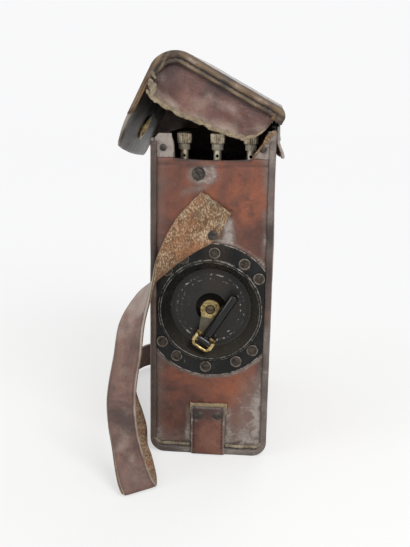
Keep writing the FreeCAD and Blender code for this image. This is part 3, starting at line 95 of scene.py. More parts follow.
def linear(colour):
    """Red, green and blue as seen on screen, 0 to 255, as shaders take them.

    A linear colour, which has four numbers, and a socket stay as they are."""
    if not isinstance(colour, tuple) or len(colour) == 4:
        return colour
    return tuple(v / 255 / 12.92 if v / 255 <= 0.04045 else ((v / 255 + 0.055) / 1.055) ** 2.4
                 for v in colour) + (1,)


class Value:
    """A number that a node gives out; a sum, difference or product with it adds a node."""

    def __init__(self, graph, socket):
        self.graph, self.socket = graph, socket

    def __add__(self, other):
        return self.graph.math("ADD", self, other)

    def __sub__(self, other):
        return self.graph.math("SUBTRACT", self, other)

    def __rsub__(self, other):
        return self.graph.math("SUBTRACT", other, self)

    def __mul__(self, other):
        return self.graph.math("MULTIPLY", self, other)

    def __abs__(self):
        return self.graph.math("ABSOLUTE", self)


def most(first, *others):
    """The highest of several Values."""
    for other in others:
        first = first.graph.math("MAXIMUM", first, other)
    return first


class Graph:
    """A node tree, with a short call that adds a node and feeds its inputs."""

    def __init__(self, tree):
        self.tree = tree

    def node(self, kind, inputs=(), **settings):
        """A node; inputs gives what feeds its sockets, by their name or place."""
        item = self.tree.nodes.new(kind)
        for key, value in settings.items():
            setattr(item, key, value)
        for key, source in dict(inputs).items():
            self.wire(source, item.inputs[key])
        return item

    def wire(self, source, target):
        """Feed a socket with a constant, another node's socket or a Value."""
        if isinstance(source, (int, float, tuple)):
            target.default_value = source
        else:
            self.tree.links.new(getattr(source, "socket", source), target)

    def math(self, how, first, second=0.0):
        """A number from one or two others; second has no effect where how takes only one."""
        item = self.node("ShaderNodeMath", {0: first, 1: second}, operation=how)
        return Value(self, item.outputs[0])


class Look(Graph):
    """A material's node tree, with one short call for each kind of pattern."""

    def __init__(self, name, roughness=0.5, metallic=0.0, **constants):
        self.material = bpy.data.materials.new(name)
        self.material.use_nodes = True
        super().__init__(self.material.node_tree)
        self.shader = self.tree.nodes["Principled BSDF"]
        self.out(Roughness=roughness, Metallic=metallic, **constants)
        self.place = self.node("ShaderNodeTexCoord").outputs["Object"]

    def out(self, **sockets):
        for key, source in sockets.items():
            self.wire(source, self.shader.inputs[key.replace("_", " ")])
        return self.material

    def noise(self, scale, detail=4, rough=0.55, at=None, warp=0.0):
        item = self.node("ShaderNodeTexNoise", {
            "Scale": scale, "Detail": detail, "Roughness": rough, "Distortion": warp,
            "Vector": at or self.place})
        return Value(self, item.outputs["Fac"])

    def cells(self, scale, at=None):
        item = self.node("ShaderNodeTexVoronoi", {"Scale": scale, "Vector": at or self.place})
        return Value(self, item.outputs["Distance"])

    def stretch(self, x, y, z):
        """Places for a pattern with a scale of its own along each axis."""
        item = self.node("ShaderNodeMapping", {"Scale": (x, y, z), "Vector": self.place})
        return item.outputs["Vector"]

    def ramp(self, value, *stops):
        """Colours between stops of (value, colour)."""
        item = self.node("ShaderNodeValToRGB", {"Fac": value})
        elements = item.color_ramp.elements
        while len(elements) < len(stops):
            elements.new(0.5)
        for element, (where, colour) in zip(elements, stops):
            element.position = where
            element.color = linear(colour)
        return item.outputs["Color"]

    def mix(self, share, first, second):
        """The first colour where the share is 0, and the second where it is 1."""
        item = self.node("ShaderNodeMix", data_type="RGBA")
        for key, source in ((0, share), (6, linear(first)), (7, linear(second))):
            self.wire(source, item.inputs[key])
        return item.outputs[2]

    def step(self, value, start, end):
        """0 where value is under start, 1 over end, smooth between."""
        item = self.node("ShaderNodeMapRange", {
            "Value": value, "From Min": start, "From Max": end},
            interpolation_type="SMOOTHSTEP")
        return Value(self, item.outputs["Result"])

    def attribute(self, name):
        item = self.node("ShaderNodeAttribute", attribute_name=name)
        return Value(self, item.outputs["Fac"])

    def along(self, direction, origin):
        """How far, in metres, a point lies along a direction from a point in millimetres."""
        apart = self.node("ShaderNodeVectorMath", {
            0: self.place, 1: tuple(v * MM for v in origin)}, operation="SUBTRACT")
        item = self.node("ShaderNodeVectorMath", {0: apart.outputs["Vector"], 1: direction},
                         operation="DOT_PRODUCT")
        return Value(self, item.outputs["Value"])

    def bump(self, height, distance, strength=1.0):
        """Relief of some depth in metres, over any relief that there is already."""
        item = self.node("ShaderNodeBump", {
            "Strength": strength, "Distance": distance, "Height": height})
        normal = self.shader.inputs["Normal"]
        if normal.links:
            self.wire(normal.links[0].from_socket, item.inputs["Normal"])
        self.wire(item.outputs["Normal"], normal)


def leather(name, dark, middle, light, bloom=(98, 86, 80), scuffs=0.9, rough=0.42,
            grain=0.00012):
    """Worn hide: blotched colour, broken pale scuffs, and a pale veil of the bloom colour where
    the wear attribute is high; the veil is partly dust bloom and partly painted sheen.
    """
    g = Look(name)
    colour = g.ramp(g.noise(20, 5, 0.62, warp=0.7), (0.34, dark), (0.50, middle), (0.66, light))
    stain = g.step(g.noise(90, 6, 0.65), 0.50, 0.72) * 0.65
    colour = g.mix(stain, colour, dark)
    wear_and_sheen = g.attribute("wear_and_sheen")
    # Painted sheen, partly dust bloom: a pale veil of the bloom colour where the wear is high.
    sheen_and_bloom = g.step(wear_and_sheen + g.noise(38, 6, 0.68, warp=0.5) * 0.9, 0.60, 1.20)
    colour = g.mix(sheen_and_bloom * 0.85, colour, bloom)
    flecks = g.noise(150, 8, 0.75, warp=0.8) * 0.85
    streaks = g.step(g.noise(1, 6, 0.75, at=g.stretch(420, 420, 90)), 0.62, 0.74)
    specks = g.step(g.noise(620, 2, 0.5), 0.72, 0.79)
    mask = most(g.step(wear_and_sheen * 0.40 + flecks, 0.66, 0.86), streaks * 0.22, specks * 0.5) * scuffs
    colour = g.mix(mask, colour, (150, 141, 134))
    colour = g.mix(g.attribute("soil_and_shade") * 0.92, colour, (30, 25, 22))
    g.bump(g.noise(260, 6, 0.7), grain * 4)
    g.bump(g.cells(1300), grain * 1.5)
    g.bump(g.noise(45, 4, 0.6), grain * 16)
    return g.out(Base_Color=colour, Roughness=mask * 0.3 + rough)


def flesh(name, dark, middle, light, pebbles=0.0):
    """The fuzzy inner side of hide: soft fibres, mottled tan, and curled pebbles if asked."""
    g = Look(name, 0.85)
    fibres = g.noise(1, 8, 0.8, at=g.stretch(900, 900, 500), warp=1.5)
    blotch = g.noise(120, 6, 0.7, warp=0.5)
    value = fibres * 0.6 + blotch * 0.4
    if pebbles:
        curls = g.step(g.cells(760, at=g.stretch(1, 1, 0.6)), 0.15, 0.8)
        lift = 0.66 - curls * 0.26 + g.noise(1300, 4, 0.7) * 0.5 - 0.25
        value = value * (1 - pebbles) + lift * pebbles + (blotch - 0.5) * 0.35
        g.bump(lift, 0.002)
    colour = g.ramp(value, (0.36, dark), (0.52, middle), (0.70, light))
    if pebbles:
        rusty = g.step(g.noise(55, 5, 0.6), 0.48, 0.66)
        colour = g.mix(rusty * 0.6, colour, (158, 98, 60))
        dusty = g.step(g.noise(42, 5, 0.65, at=g.stretch(1, 1.4, 0.8)), 0.52, 0.72)
        colour = g.mix(dusty * 0.5, colour, (118, 108, 90))
    colour = g.mix(g.attribute("soil_and_shade") * 0.9, colour, (40, 31, 26))
    g.bump(fibres, 0.0012)
    g.bump(g.noise(200, 5, 0.7), 0.0012)
    return g.out(Base_Color=colour)


def enamel(name):
    """Black enamel, chipped to metal at the flange's rims and scratched inside the dish."""
    g = Look(name, 0.38, Specular_IOR_Level=0.22)
    x, z = (g.along(axis, (0, 0, CRANK_Z)) for axis in ((1, 0, 0), (0, 0, 1)))
    radius = g.math("SQRT", x * x + z * z)

    def ring(at, width):
        return 1.0 - g.step(abs(radius - at * MM), width * 0.3 * MM, width * MM)
    edges = most(ring(55.7, 0.7) * 0.9, ring(42.2, 0.45), ring(40.3, 0.5) * 0.35)
    chips = g.step(g.noise(200, 8, 0.75), 0.42, 0.56)
    scratch = g.step(g.noise(1, 4, 0.7, at=g.stretch(160, 160, 160), warp=2.5), 0.575, 0.62)
    marks = most(ring(28.0, 1.0), ring(24.5, 0.6)) * scratch
    fine = g.step(g.noise(1, 3, 0.6, at=g.stretch(900, 300, 120)), 0.70, 0.75) * 0.35
    bare = most(edges * chips, marks, fine)
    dust = g.step(g.noise(70, 6, 0.65), 0.42, 0.75)
    black = g.mix(dust, (12, 12, 12), (34, 33, 32))
    black = g.mix((1.0 - g.step(radius, 0.028, 0.034)) * 0.35, black, (62, 60, 57))
    # Painted light: the dish's sloped wall is lightened, most at its lower right, against the
    # shade that falls on it.
    wall = g.step(radius, 0.0305, 0.0335) * (1.0 - g.step(radius, 0.0392, 0.0402))
    painted_light_side = g.step(x - z * 1.2, -0.045, 0.05)
    black = g.mix(wall * (painted_light_side * 0.6 + 0.15), black, (62, 58, 52))
    brown = (1.0 - g.step(abs(x - 0.004), 0.002, 0.016)) * (g.step(z, 0.008, 0.02) * 0.25)
    black = g.mix(brown, black, (72, 56, 42))
    colour = g.mix(bare, black, (170, 164, 154))
    rust = g.step(g.noise(110, 5, 0.6), 0.62, 0.74)
    colour = g.mix(rust * 0.35, colour, (56, 44, 34))
    g.bump(g.noise(180, 5, 0.6), 0.00025)
    g.bump(bare, 0.0001, -0.6)
    return g.out(Base_Color=colour, Roughness=dust * 0.2 + 0.22, Metallic=bare * 0.7)


def metal(name, dark, light, rough=0.35, grain=500, spots=(60, 48, 36), spotted=0.4,
          metallic=1.0):
    """Aged metal: darker in patches, with spots of tarnish."""
    g = Look(name, metallic=metallic)
    patch = g.noise(160, 6, 0.65, warp=0.4)
    colour = g.mix(g.step(patch, 0.35, 0.65), dark, light)
    tarnish = g.step(g.noise(grain, 6, 0.7), 0.50, 0.66) * spotted
    colour = g.mix(tarnish, colour, spots)
    g.bump(g.noise(grain * 1.5, 5, 0.7), 0.00006)
    return g.out(Base_Color=colour, Roughness=tarnish * 0.4 + (patch * 0.12 + rough))


def worn_arm(name):
    """The crank's arm: brass where hands and the dish rub it, and dark with old dirt between."""
    g = Look(name, metallic=0.9)
    shaft = (0, -92, CRANK_Z)
    down, aside = g.along((-0.1805, 0, -0.9836), shaft), g.along((0.9836, 0, -0.1805), shaft)
    hub = 1.0 - g.step(down, 0.005, 0.010)
    rim = g.step(aside + down * 0.09, 0.0030, 0.0042)
    foot = g.step(down, 0.021, 0.025)
    speckle = g.noise(520, 6, 0.7)
    clean = g.step(most(hub, rim, foot) + speckle * 0.8, 0.72, 1.25)
    brass = g.mix(g.step(g.noise(160, 6, 0.65), 0.35, 0.65), (128, 110, 70), (190, 170, 120))
    brass = g.mix(g.step(speckle, 0.48, 0.60) * 0.8, brass, (48, 42, 30))
    grime = g.mix(g.noise(240, 6, 0.7), (72, 68, 58), (122, 115, 99))
    g.bump(speckle, 0.00008)
    return g.out(Base_Color=g.mix(clean, grime, brass), Roughness=0.55 - clean * 0.22)


def rivet_heads(name):
    """Browned steel heads with black left in their hollows and bright worn rings."""
    g = Look(name, metallic=0.6)
    colour = g.mix(g.step(g.noise(330, 6, 0.7), 0.4, 0.62), (40, 35, 31), (84, 73, 63))
    colour = g.mix(g.attribute("soil_and_shade") * 0.8, colour, (22, 20, 19))
    bare = g.attribute("wear_and_sheen") * g.step(g.noise(420, 5, 0.7), 0.38, 0.55)
    colour = g.mix(bare * 0.7, colour, (138, 130, 120))
    g.bump(g.noise(700, 5, 0.7), 0.0001)
    return g.out(Base_Color=colour, Roughness=0.5 - bare * 0.15)


def hard_rubber(name, dark, light):
    """Moulded ebonite with a dusty bloom and faint scratches."""
    g = Look(name, 0.2, Specular_IOR_Level=0.35)
    bloom = g.step(g.noise(90, 6, 0.65), 0.4, 0.75)
    lines = g.step(g.noise(1, 3, 0.6, at=g.stretch(1400, 500, 180)), 0.68, 0.74)
    colour = g.mix(lines * 0.3, g.mix(bloom, dark, light), (120, 116, 110))
    g.bump(g.noise(1200, 3, 0.5), 0.00003)
    return g.out(Base_Color=colour, Roughness=bloom * 0.2 + 0.14)


def cloth_wrap(name, dark, light, pitch=1400):
    """Varnished cloth or thread wound in fine turns."""
    g = Look(name, 0.55)
    bands = g.node("ShaderNodeTexWave", {
        "Scale": pitch / 3, "Distortion": 0.6, "Vector": g.place},
        wave_type="BANDS", bands_direction="Z").outputs["Fac"]
    colour = g.mix(bands, dark, light)
    colour = g.mix(g.step(g.noise(130, 4), 0.5, 0.8), colour, dark)
    g.bump(bands, 0.0002)
    return g.out(Base_Color=colour)


def wood(name):
    """Varnished hardwood with grain along the case."""
    g = Look(name, 0.4)
    grain = g.noise(1, 8, 0.7, at=g.stretch(60, 8, 500), warp=1.2)
    g.bump(grain, 0.0003)
    return g.out(Base_Color=g.ramp(grain, (0.35, (70, 44, 26)), (0.6, (126, 86, 52))))


def card(name):
    """Waxed card tube with soft fibres and stains."""
    g = Look(name, 0.7)
    stains = g.noise(80, 7, 0.7)
    g.bump(g.noise(900, 4, 0.7), 0.0002)
    return g.out(Base_Color=g.ramp(stains, (0.35, (112, 84, 52)), (0.65, (156, 124, 84))))


def thread(name, colour, dirt):
    """Waxed linen stitching."""
    g = Look(name, 0.7)
    g.bump(g.noise(2500, 3, 0.6), 0.0002)
    return g.out(Base_Color=g.mix(g.noise(400, 5, 0.7), colour, dirt))


# A hide's colour after its three tones is its bloom: a pale veil that is partly dust bloom and
# partly painted sheen.
RED_HIDE = leather("red_hide", (66, 38, 29), (104, 57, 40), (134, 74, 47), (108, 92, 84))
WELT_HIDE = leather("welt_hide", (42, 31, 27), (72, 54, 46), (98, 78, 68), (116, 105, 98),
                    scuffs=1.0, rough=0.4)
BAND_HIDE = leather("band_hide", (34, 25, 18), (84, 62, 40), (142, 104, 62), (120, 98, 72),
                    rough=0.4)
LID_HIDE = leather("lid_hide", (44, 35, 30), (78, 63, 54), (110, 91, 78), (158, 148, 138),
                   rough=0.38)
PINK_HIDE = leather("pink_hide", (60, 34, 30), (98, 63, 54), (138, 102, 90), (170, 150, 136),
                    scuffs=1.0, rough=0.28, grain=0.00018)
TAB_HIDE = leather("tab_hide", (62, 36, 29), (98, 58, 45), (122, 80, 62))
STRAP_HIDE = leather("strap_hide", (62, 41, 34), (98, 69, 58), (124, 95, 82),
                     (164, 146, 136), scuffs=0.8, rough=0.46)
DARK_FLESH = leather("dark_flesh", (30, 28, 26), (56, 52, 48), (96, 90, 84), (128, 123, 118),
                     rough=0.34)
EDGE = flesh("cut_edge", (104, 86, 62), (164, 142, 110), (204, 186, 154))
SEAM = flesh("worn_seam", (96, 84, 68), (156, 142, 120), (200, 188, 166))
RIM = flesh("torn_rim", (96, 80, 60), (158, 140, 114), (204, 190, 166))
FLESH = flesh("flesh_side", (96, 68, 46), (158, 122, 88), (220, 202, 174), pebbles=0.75)
DARK_STEEL = metal("dark_rivets", (44, 40, 37), (82, 76, 70), 0.45, spotted=0.6, metallic=0.6)
HEADS = rivet_heads("flange_heads")
BRASS = metal("old_brass", (134, 114, 72), (200, 178, 126), 0.28, 420, (52, 42, 28), 0.6)
COLLAR = metal("bright_collar", (206, 192, 166), (246, 238, 220), 0.3, 600, (110, 92, 70), 0.3,
               metallic=0.4)
KNURL = metal("knurled_nickel", (140, 128, 108), (200, 186, 162), 0.32, 600, (54, 45, 36), 0.6,
              metallic=0.8)
# Brass made nearly black: painted shade for the generator's plates and drive gear, seen in the
# dark inside the case.
SHADE_DARK_BRASS = metal("shade_dark_brass", (20, 17, 14), (38, 32, 24), 0.6, spotted=0.6, metallic=0.4)
BOSS = metal("brown_boss", (58, 48, 38), (96, 80, 62), 0.5, spotted=0.5, metallic=0.5)
HANDLE = hard_rubber("turned_handle", (10, 10, 12), (20, 20, 22))
DARK_THREAD = thread("dark_thread", (48, 38, 31), (28, 22, 18))

SLOT_LOOKS = {
    "case_leather": RED_HIDE, "edge_leather": WELT_HIDE, "lid_leather": LID_HIDE,
    "gusset_leather": PINK_HIDE, "tab_leather": TAB_HIDE, "strap_leather": STRAP_HIDE,
    "black_enamel": enamel("black_enamel"), "dark_rivets": DARK_STEEL, "brass": BRASS,
    "steel": metal("aged_steel", (120, 114, 106), (176, 170, 160), 0.34),
    "nickel": metal("worn_nickel", (180, 166, 140), (236, 226, 204), 0.3, 600, (84, 66, 48),
                    metallic=0.7),
    "ebonite": hard_rubber("hard_rubber", (16, 16, 17), (34, 32, 30)),
    "magnet_enamel": metal("magnet_enamel", (84, 26, 20), (116, 40, 30), 0.4, metallic=0.0),
    "capsule": metal("capsule", (150, 148, 144), (196, 194, 190), 0.4),
    "partition_wood": wood("partition_wood"),
    "coil_wrap": cloth_wrap("coil_wrap", (62, 26, 20), (104, 48, 36)),
    "cell_card": card("cell_card"),
}
NODE_LOOKS = {                                 # nodes that differ from the rest of their slot
    "frame_screws": DARK_STEEL, "screw_washers": DARK_STEEL, "handle_pin": DARK_STEEL,
    "crank_arm": worn_arm("crank_arm_brass"), "crank_handle": HANDLE, "crank_screw": BOSS,
    "crank_shaft": BOSS, "generator_bushes": BOSS, "generator_plates": SHADE_DARK_BRASS,
    "drive_gear": SHADE_DARK_BRASS,
}
for part in frame["record"]["subparts"]:
    materials = frame["nodes"][part["node"]].data.materials
    materials.clear()
    materials.append(NODE_LOOKS.get(part["node"]) or SLOT_LOOKS[part["material_slot"]])


# ---------------------------------------------------------------- shapes of a single value

def rough(point, scale, seed=0.0):
    """Smooth noise from about -1 to 1 at a point in millimetres, for features of one size."""
    return noise.noise(Vector(point) / scale + Vector((seed, seed * 1.7, -seed)))


def ease(value, start, end):
    """0 where value is under start, 1 over end, smooth between."""
    t = min(1.0, max(0.0, (value - start) / (end - start)))
    return t * t * (3 - 2 * t)


def hump(away, width):
    """1 where away is 0, falling off on both sides like a bell."""
    return math.exp(-(away / width) ** 2)


def read_off(table, place):
    """The value at one place, between the (place, value) pairs of a table."""
    places, values = zip(*table)
    return float(np.interp(place, places, values))


# ---------------------------------------------------------------- mesh making

def placed(name, data):
    """A new object in the scene."""
    item = bpy.data.objects.new(name, data)
    bpy.context.scene.collection.objects.link(item)
    return item


def make(name, lumps, looks, body, replaces=(), wear_and_sheen=None, soil_and_shade=None):
    """An object from lumps, each one points in millimetres with faces, that rides on a body.

    wear and soil, from 0 to 1, are functions of a point or lists with a value for each. The wear
    values also lay on painted sheen and highlight, and the soil values lay on painted shade as
    well as dirt."""
    points, faces = [], []
    for lump_points, lump_faces in lumps:
        start = len(points)
        points += [Vector(p) for p in lump_points]
        faces += [tuple(start + k for k in face) for face in lump_faces]
    mesh = bpy.data.meshes.new(name)
    mesh.from_pydata([p * MM for p in points], [], faces)
    mesh.validate()
    for look in looks:
        mesh.materials.append(look)
    for key, value in (("wear_and_sheen", wear_and_sheen), ("soil_and_shade", soil_and_shade)):
        values = [value(p) for p in points] if callable(value) else value or [0.0] * len(points)
        mesh.attributes.new(key, "FLOAT", "POINT").data.foreach_set("value", values)
    mesh.polygons.foreach_set("use_smooth", [True] * len(mesh.polygons))
    item = placed(name, mesh)
    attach(item, body)
    if replaces:
        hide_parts(*replaces)
    return item


def paint(item, index, chosen):
    """Give the faces that a test picks, by their middle in millimetres, another of the looks."""
    for face in item.data.polygons:
        if chosen(face.center / MM, face.normal):
            face.material_index = index


def opened(points, faces, in_hole):
    """The faces that are left when those with their middle in a hole are taken out."""
    return [face for face in faces
            if not in_hole(sum((points[k] for k in face), Vector()) / len(face))]


def grid_faces(rows, columns, start=0, flip=False, closed=False):
    """Squares between rows of points; closed joins the last column to the first."""
    faces = []
    for i in range(rows - 1):
        for j in range(columns if closed else columns - 1):
            a, b = start + i * columns + j, start + i * columns + (j + 1) % columns
            face = (a, b, b + columns, a + columns)
            faces.append(face[::-1] if flip else face)
    return faces


def grid(lines, across, place, flip=False):
    """Rows of points place(u, v): one row for each u of lines, with each v of across(u)."""
    rows = [[place(u, v) for v in across(u)] for u in lines]
    return [row[::-1] for row in rows] if flip else rows


def tube(sections):
    """Points and faces of closed sections joined end to end, with both ends capped."""
    rows, columns = len(sections), len(sections[0])
    faces = grid_faces(rows, columns, closed=True)
    faces.append(tuple(reversed(range(columns))))
    faces.append(tuple(range((rows - 1) * columns, rows * columns)))
    return [p for section in sections for p in section], faces


def slabbed(front, thick, away, edge=1.2):
    """A sheet of some thickness with rounded rims, from a grid of front points.

    away is the direction from the front to the back, or a function (row, column) of it."""
    rows, columns = len(front), len(front[0])
    count, last = rows * columns, (rows - 1) * columns
    points = []
    for back in (False, True):
        for i, row in enumerate(front):
            for j, p in enumerate(row):
                from_rim = min(i, rows - 1 - i, j, columns - 1 - j)
                drawn_in = {0: 0.30, 1: 0.06}.get(from_rim, 0.0) * edge
                depth = thick - drawn_in if back else drawn_in
                points.append(p + (away(i, j) if callable(away) else away) * depth)
    rim = [*range(columns), *range(2 * columns - 1, count, columns),
           *range(last + columns - 2, last - 1, -1), *range(last - columns, 0, -columns)]
    return points, grid_faces(rows, columns) + grid_faces(rows, columns, count, flip=True) + \
        [(b, a, a + count, b + count) for a, b in zip(rim, rim[1:] + rim[:1])]


def steps(first, last, count, rim=0.0):
    """Evenly spaced values, with a close one beside each end so that a rim can round over."""
    values = list(np.linspace(first, last, count))
    if rim:
        rim = math.copysign(rim, last - first)
        values = [first, first + rim] + values[1:-1] + [last - rim, last]
    return values


def circle(count):
    """Angles evenly round a full turn."""
    return np.linspace(0, 2 * math.pi, count + 1)[:-1]


def loop(centre, first, second, count):
    """Points round an oval, from its middle and its two half-axes."""
    return [centre + first * math.cos(w) + second * math.sin(w) for w in circle(count)]


def trough(side, foot, radius, tops, counts):
    """Points (across, height) down one side, under the foot and up the other side.

    counts says how many points the first side, each bend, the foot and the last side get."""
    down, bend, under, up = counts
    turn, shoulder, inner = np.linspace(0, math.pi / 2, bend)[1:], foot + radius, side - radius
    return [(-side, z) for z in np.linspace(tops[0], shoulder, down)] + \
        [(-inner - radius * math.cos(a), shoulder - radius * math.sin(a)) for a in turn] + \
        [(x, foot) for x in np.linspace(-inner, inner, under)[1:]] + \
        [(inner + radius * math.sin(a), shoulder - radius * math.cos(a)) for a in turn] + \
        [(side, z) for z in np.linspace(shoulder, tops[1], up)[1:]]


def heading(path, k):
    """Which way a path runs at one of its points, from the points beside it."""
    return Vector(path[min(k + 1, len(path) - 1)]) - Vector(path[max(k - 1, 0)])


def stitches(path, up, length, gap, radius, sink=0.1):
    """Short rounded threads laid end to end along a path on a surface that faces up."""
    path = [Vector(p) for p in path]
    lengths = [0.0]
    for a, b in zip(path, path[1:]):
        lengths.append(lengths[-1] + (b - a).length)

    def at(distance):
        k = min(max(int(np.searchsorted(lengths, distance)), 1), len(path) - 1)
        t = (distance - lengths[k - 1]) / max(lengths[k] - lengths[k - 1], 1e-6)
        return path[k - 1].lerp(path[k], t)
    lumps = []
    distance = gap
    while distance + length < lengths[-1]:
        a, b = at(distance), at(distance + length)
        over = (b - a).normalized().cross(up).normalized()
        sections = []
        for t, share in ((0.0, 0.25), (0.12, 0.85), (0.5, 1.0), (0.88, 0.85), (1.0, 0.25)):
            swell = radius * share
            middle = a.lerp(b, t) + up * (swell * 0.45 - sink)
            sections.append(loop(middle, over * swell, up * swell, 6))
        lumps.append(tube(sections))
        distance += length + gap
    return lumps


# ---------------------------------------------------------------- case

def wrap_profile(offset):
    """The case's front, bottom and back, at some depth under its outer face."""
    return trough(HALF - offset, SOLE + offset, CORNER - offset, (FRONT_TOP, BACK_TOP),
                  (34, 7, 12, 36))


def case_bulge(x, y, z):
    """How far the hide stands out from the flat sides: slack between its stiff ends."""
    middle = 1 - (y / FACE) ** 2
    height = math.sin(math.pi * min(1, max(0, (z - 10) / 240)))
    bulge = 0.9 * middle * height + 0.55 * rough((x, y, z), 38) + 0.18 * rough((x, y, z), 11, 3)
    return bulge * ease(z, 8, 30) * ease(FACE - abs(y), 0, 12)


def build_wrap():
    """The hide round the case's front, bottom and back."""
    outer, inner = wrap_profile(0), wrap_profile(LEATHER)
    inward = [(Vector((b[0], 0, b[1])) - Vector((a[0], 0, a[1]))) / LEATHER
              for a, b in zip(outer, inner)]

    def point(y, at):
        x, z = at
        push = case_bulge(x, y, z) if abs(x) > HALF - 1 else 0.0
        return Vector((x + math.copysign(push, x), y, z))

    def wear_and_sheen(p):
        top = ease(p.z, FRONT_TOP - 16, FRONT_TOP) if p.x < 0 else \
            ease(p.z, BACK_TOP - 18, BACK_TOP)
        corner = ease(SOLE + CORNER - p.z, 0, 8)
        return min(1, 0.25 + 0.5 * top + 0.5 * ease(abs(p.y), FACE - 9, FACE) + 0.4 * corner)
    rows = grid(steps(-FACE, FACE, 60, 0.8), lambda y: outer, point)
    make("case_hide", [slabbed(rows, LEATHER, lambda i, j: inward[j])], [RED_HIDE], "telephone",
         ["case_wrap"], wear_and_sheen, lambda p: 0.75 if abs(p.x) < HALF - 2 and p.z > 8 else 0.0)


INSIDE = HALF - LEATHER
BASE = SOLE + LEATHER
LIP = 249.0                                    # the near end's edge between its ears
EAR_FRONT = [(LIP, 30), (258, 30), (268, 33)]  # height and inner edge of the near end's ears
EAR_BACK = [(LIP, 30), (261, 37), (BACK_TOP, 40)]
END_TOP = 268                                  # of the front ear and of the far end's middle
DISH_HOLE = 41.5


def from_screw(x, z):
    """How far a point of an end panel lies from the frame's screw."""
    return math.hypot(x + 11, z - 237)


def from_crank(p):
    """How far a point lies from the crank shaft's axis."""
    return math.hypot(p.x, p.z - CRANK_Z)


def crease_line(x):
    """The height of the crease pressed in below the near end's lip."""
    return LIP - 4.6 - 1.6 * (1 - min(1, abs(x + 4) / 36) ** 2)


def foot_folds(x, z):
    """Noise drawn out along an end panel's foot, where the hide is gathered."""
    return rough((x, 1, z * 2.6), 7, 6)


def panel_relief(x, z, sign):
    """How far an end panel's face stands out: hammered flat hide, puckered round its screw."""
    relief = 0.35 * rough((x, sign * 40, z), 30, 5) + 0.12 * rough((x, sign * 9, z), 8, 1)
    edge = ease(HALF - WELT_WIDTH - abs(x), 0, 5)
    screw = from_screw(x, z)
    pucker = 0.5 * hump(screw - 8.5, 3.0) - 0.3 * hump(screw, 5)
    ripple = 0.3 * hump(screw - 10, 7) * rough((x, 7, z), 3.2, 2)
    crease = -0.6 * hump(z - crease_line(x), 0.6) if sign < 0 else 0.0
    foot = 0.8 * ease(26 - z, 0, 12) * foot_folds(x, z)
    return relief * edge + pucker + ripple + crease + foot * edge


def panel_wear_and_sheen(p):
    """Scuffs of an end panel: at its rims on both, and where things rub on the near one. Painted
    sheen along the back rim and painted highlight on the near end's ears are laid on with them.
    """
    front = 0.16 * ease(-p.x, 20, 44)
    # Painted sheen along the back rim, with some scuffs.
    back = 0.45 * ease(p.x, 34, 46) * (0.6 + 0.8 * rough((p.x * 0.4, 2, p.z), 16, 8))
    low_back = 0.5 * ease(p.x, 8, 34) * ease(92 - p.z, 0, 50) + 0.12 * ease(90 - p.z, 0, 20)
    rims = 0.3 * ease(30 - p.z, 0, 18) + 0.12 * ease(p.z, LIP - 7, LIP) + \
        0.22 * ease(abs(p.x), HALF - 16, HALF - WELT_WIDTH)
    tab = hump(abs(p.x) - 16.5, 2.5) * ease(46 - p.z, 0, 8)
    worn = 0.04 + front + back + low_back + rims + 0.6 * tab
    if p.y > 0:
        return min(1, worn)
    dish = hump(from_crank(p) - 57.5, 1.3)
    rivet = hump(math.hypot(p.x - 8, p.z - 190) - 4, 5)
    strap = hump(p.x - 13 - 0.12 * (205 - p.z), 4.5) * ease(208 - p.z, 0, 8) * \
        ease(p.z, 180, 186)
    patch = hump(max(0, math.hypot((p.x + 8) / 1.5, p.z - 236) - 5), 4)
    swoosh = hump(p.z - 240 - 0.28 * (p.x + 8), 3.2) * ease(8 - p.x, 0, 9) * \
        ease(p.x, -12, -8)
    trail = hump(p.z - 223 - 0.25 * (p.x + 20), 4.5) * ease(p.x, -28, -22) * \
        ease(2 - p.x, 0, 12)
    around = (0.75 if from_screw(p.x, p.z) < 14 else 0.62) * max(patch, swoosh, 0.8 * trail)
    worn += 0.7 * dish + 0.45 * rivet + 0.85 * strap + around
    # The ears are made pale: partly scuffs, partly painted highlight.
    if p.z > LIP:
        worn = max(worn, 1.0 if p.x < 0 else 0.85)
    return min(1, worn)


def panel_darkening(p):
    """Darkening of an end panel: on its inside, along its seams and folds, below the flange, and
    in stains on its face.
    """
    if abs(p.y) < FACE - 1.5:
        return 0.8
    near = p.y < 0
    crease = 0.55 * hump(p.z - crease_line(p.x), 0.7) if near else 0
    rim = 0.8 * ease(p.z, LIP - 3.4, LIP - 1.2) if abs(p.x) < 31 and near else 0
    seam = (0.16 if p.x < 0 else 0.1) * hump(HALF - WELT_WIDTH - 0.3 - abs(p.x), 0.8)
    front = 0.22 * ease(-p.x, 20, 44) * (0.6 + 0.8 * rough(p, 30, 2))
    below = 0.25 * hump(from_crank(p) - 60, 5) if p.z < 90 else 0
    fold = 0.7 * ease(22 - p.z, 0, 8) * ease(foot_folds(p.x, p.z), 0, 0.4)
    return min(1, max(0, max(crease, rim, seam) + front + below + fold))


def panel(heights, across, sign, place):
    """A slab of end panel, with each point moved to where it belongs by place."""
    def point(z, x):
        return place(Vector((x, sign * (FACE + panel_relief(x, z, sign)), z)))
    return slabbed(grid(heights, across, point, sign > 0), LEATHER, Vector((0, -sign, 0)))


def full_width(z):
    """Places across an end panel at one height, closer together in its lower corners."""
    corner = CORNER - LEATHER
    drop = max(0.0, BASE + corner - z)
    half = INSIDE - corner + math.sqrt(max(0.0, corner ** 2 - drop ** 2))
    return steps(-half, half, 47)


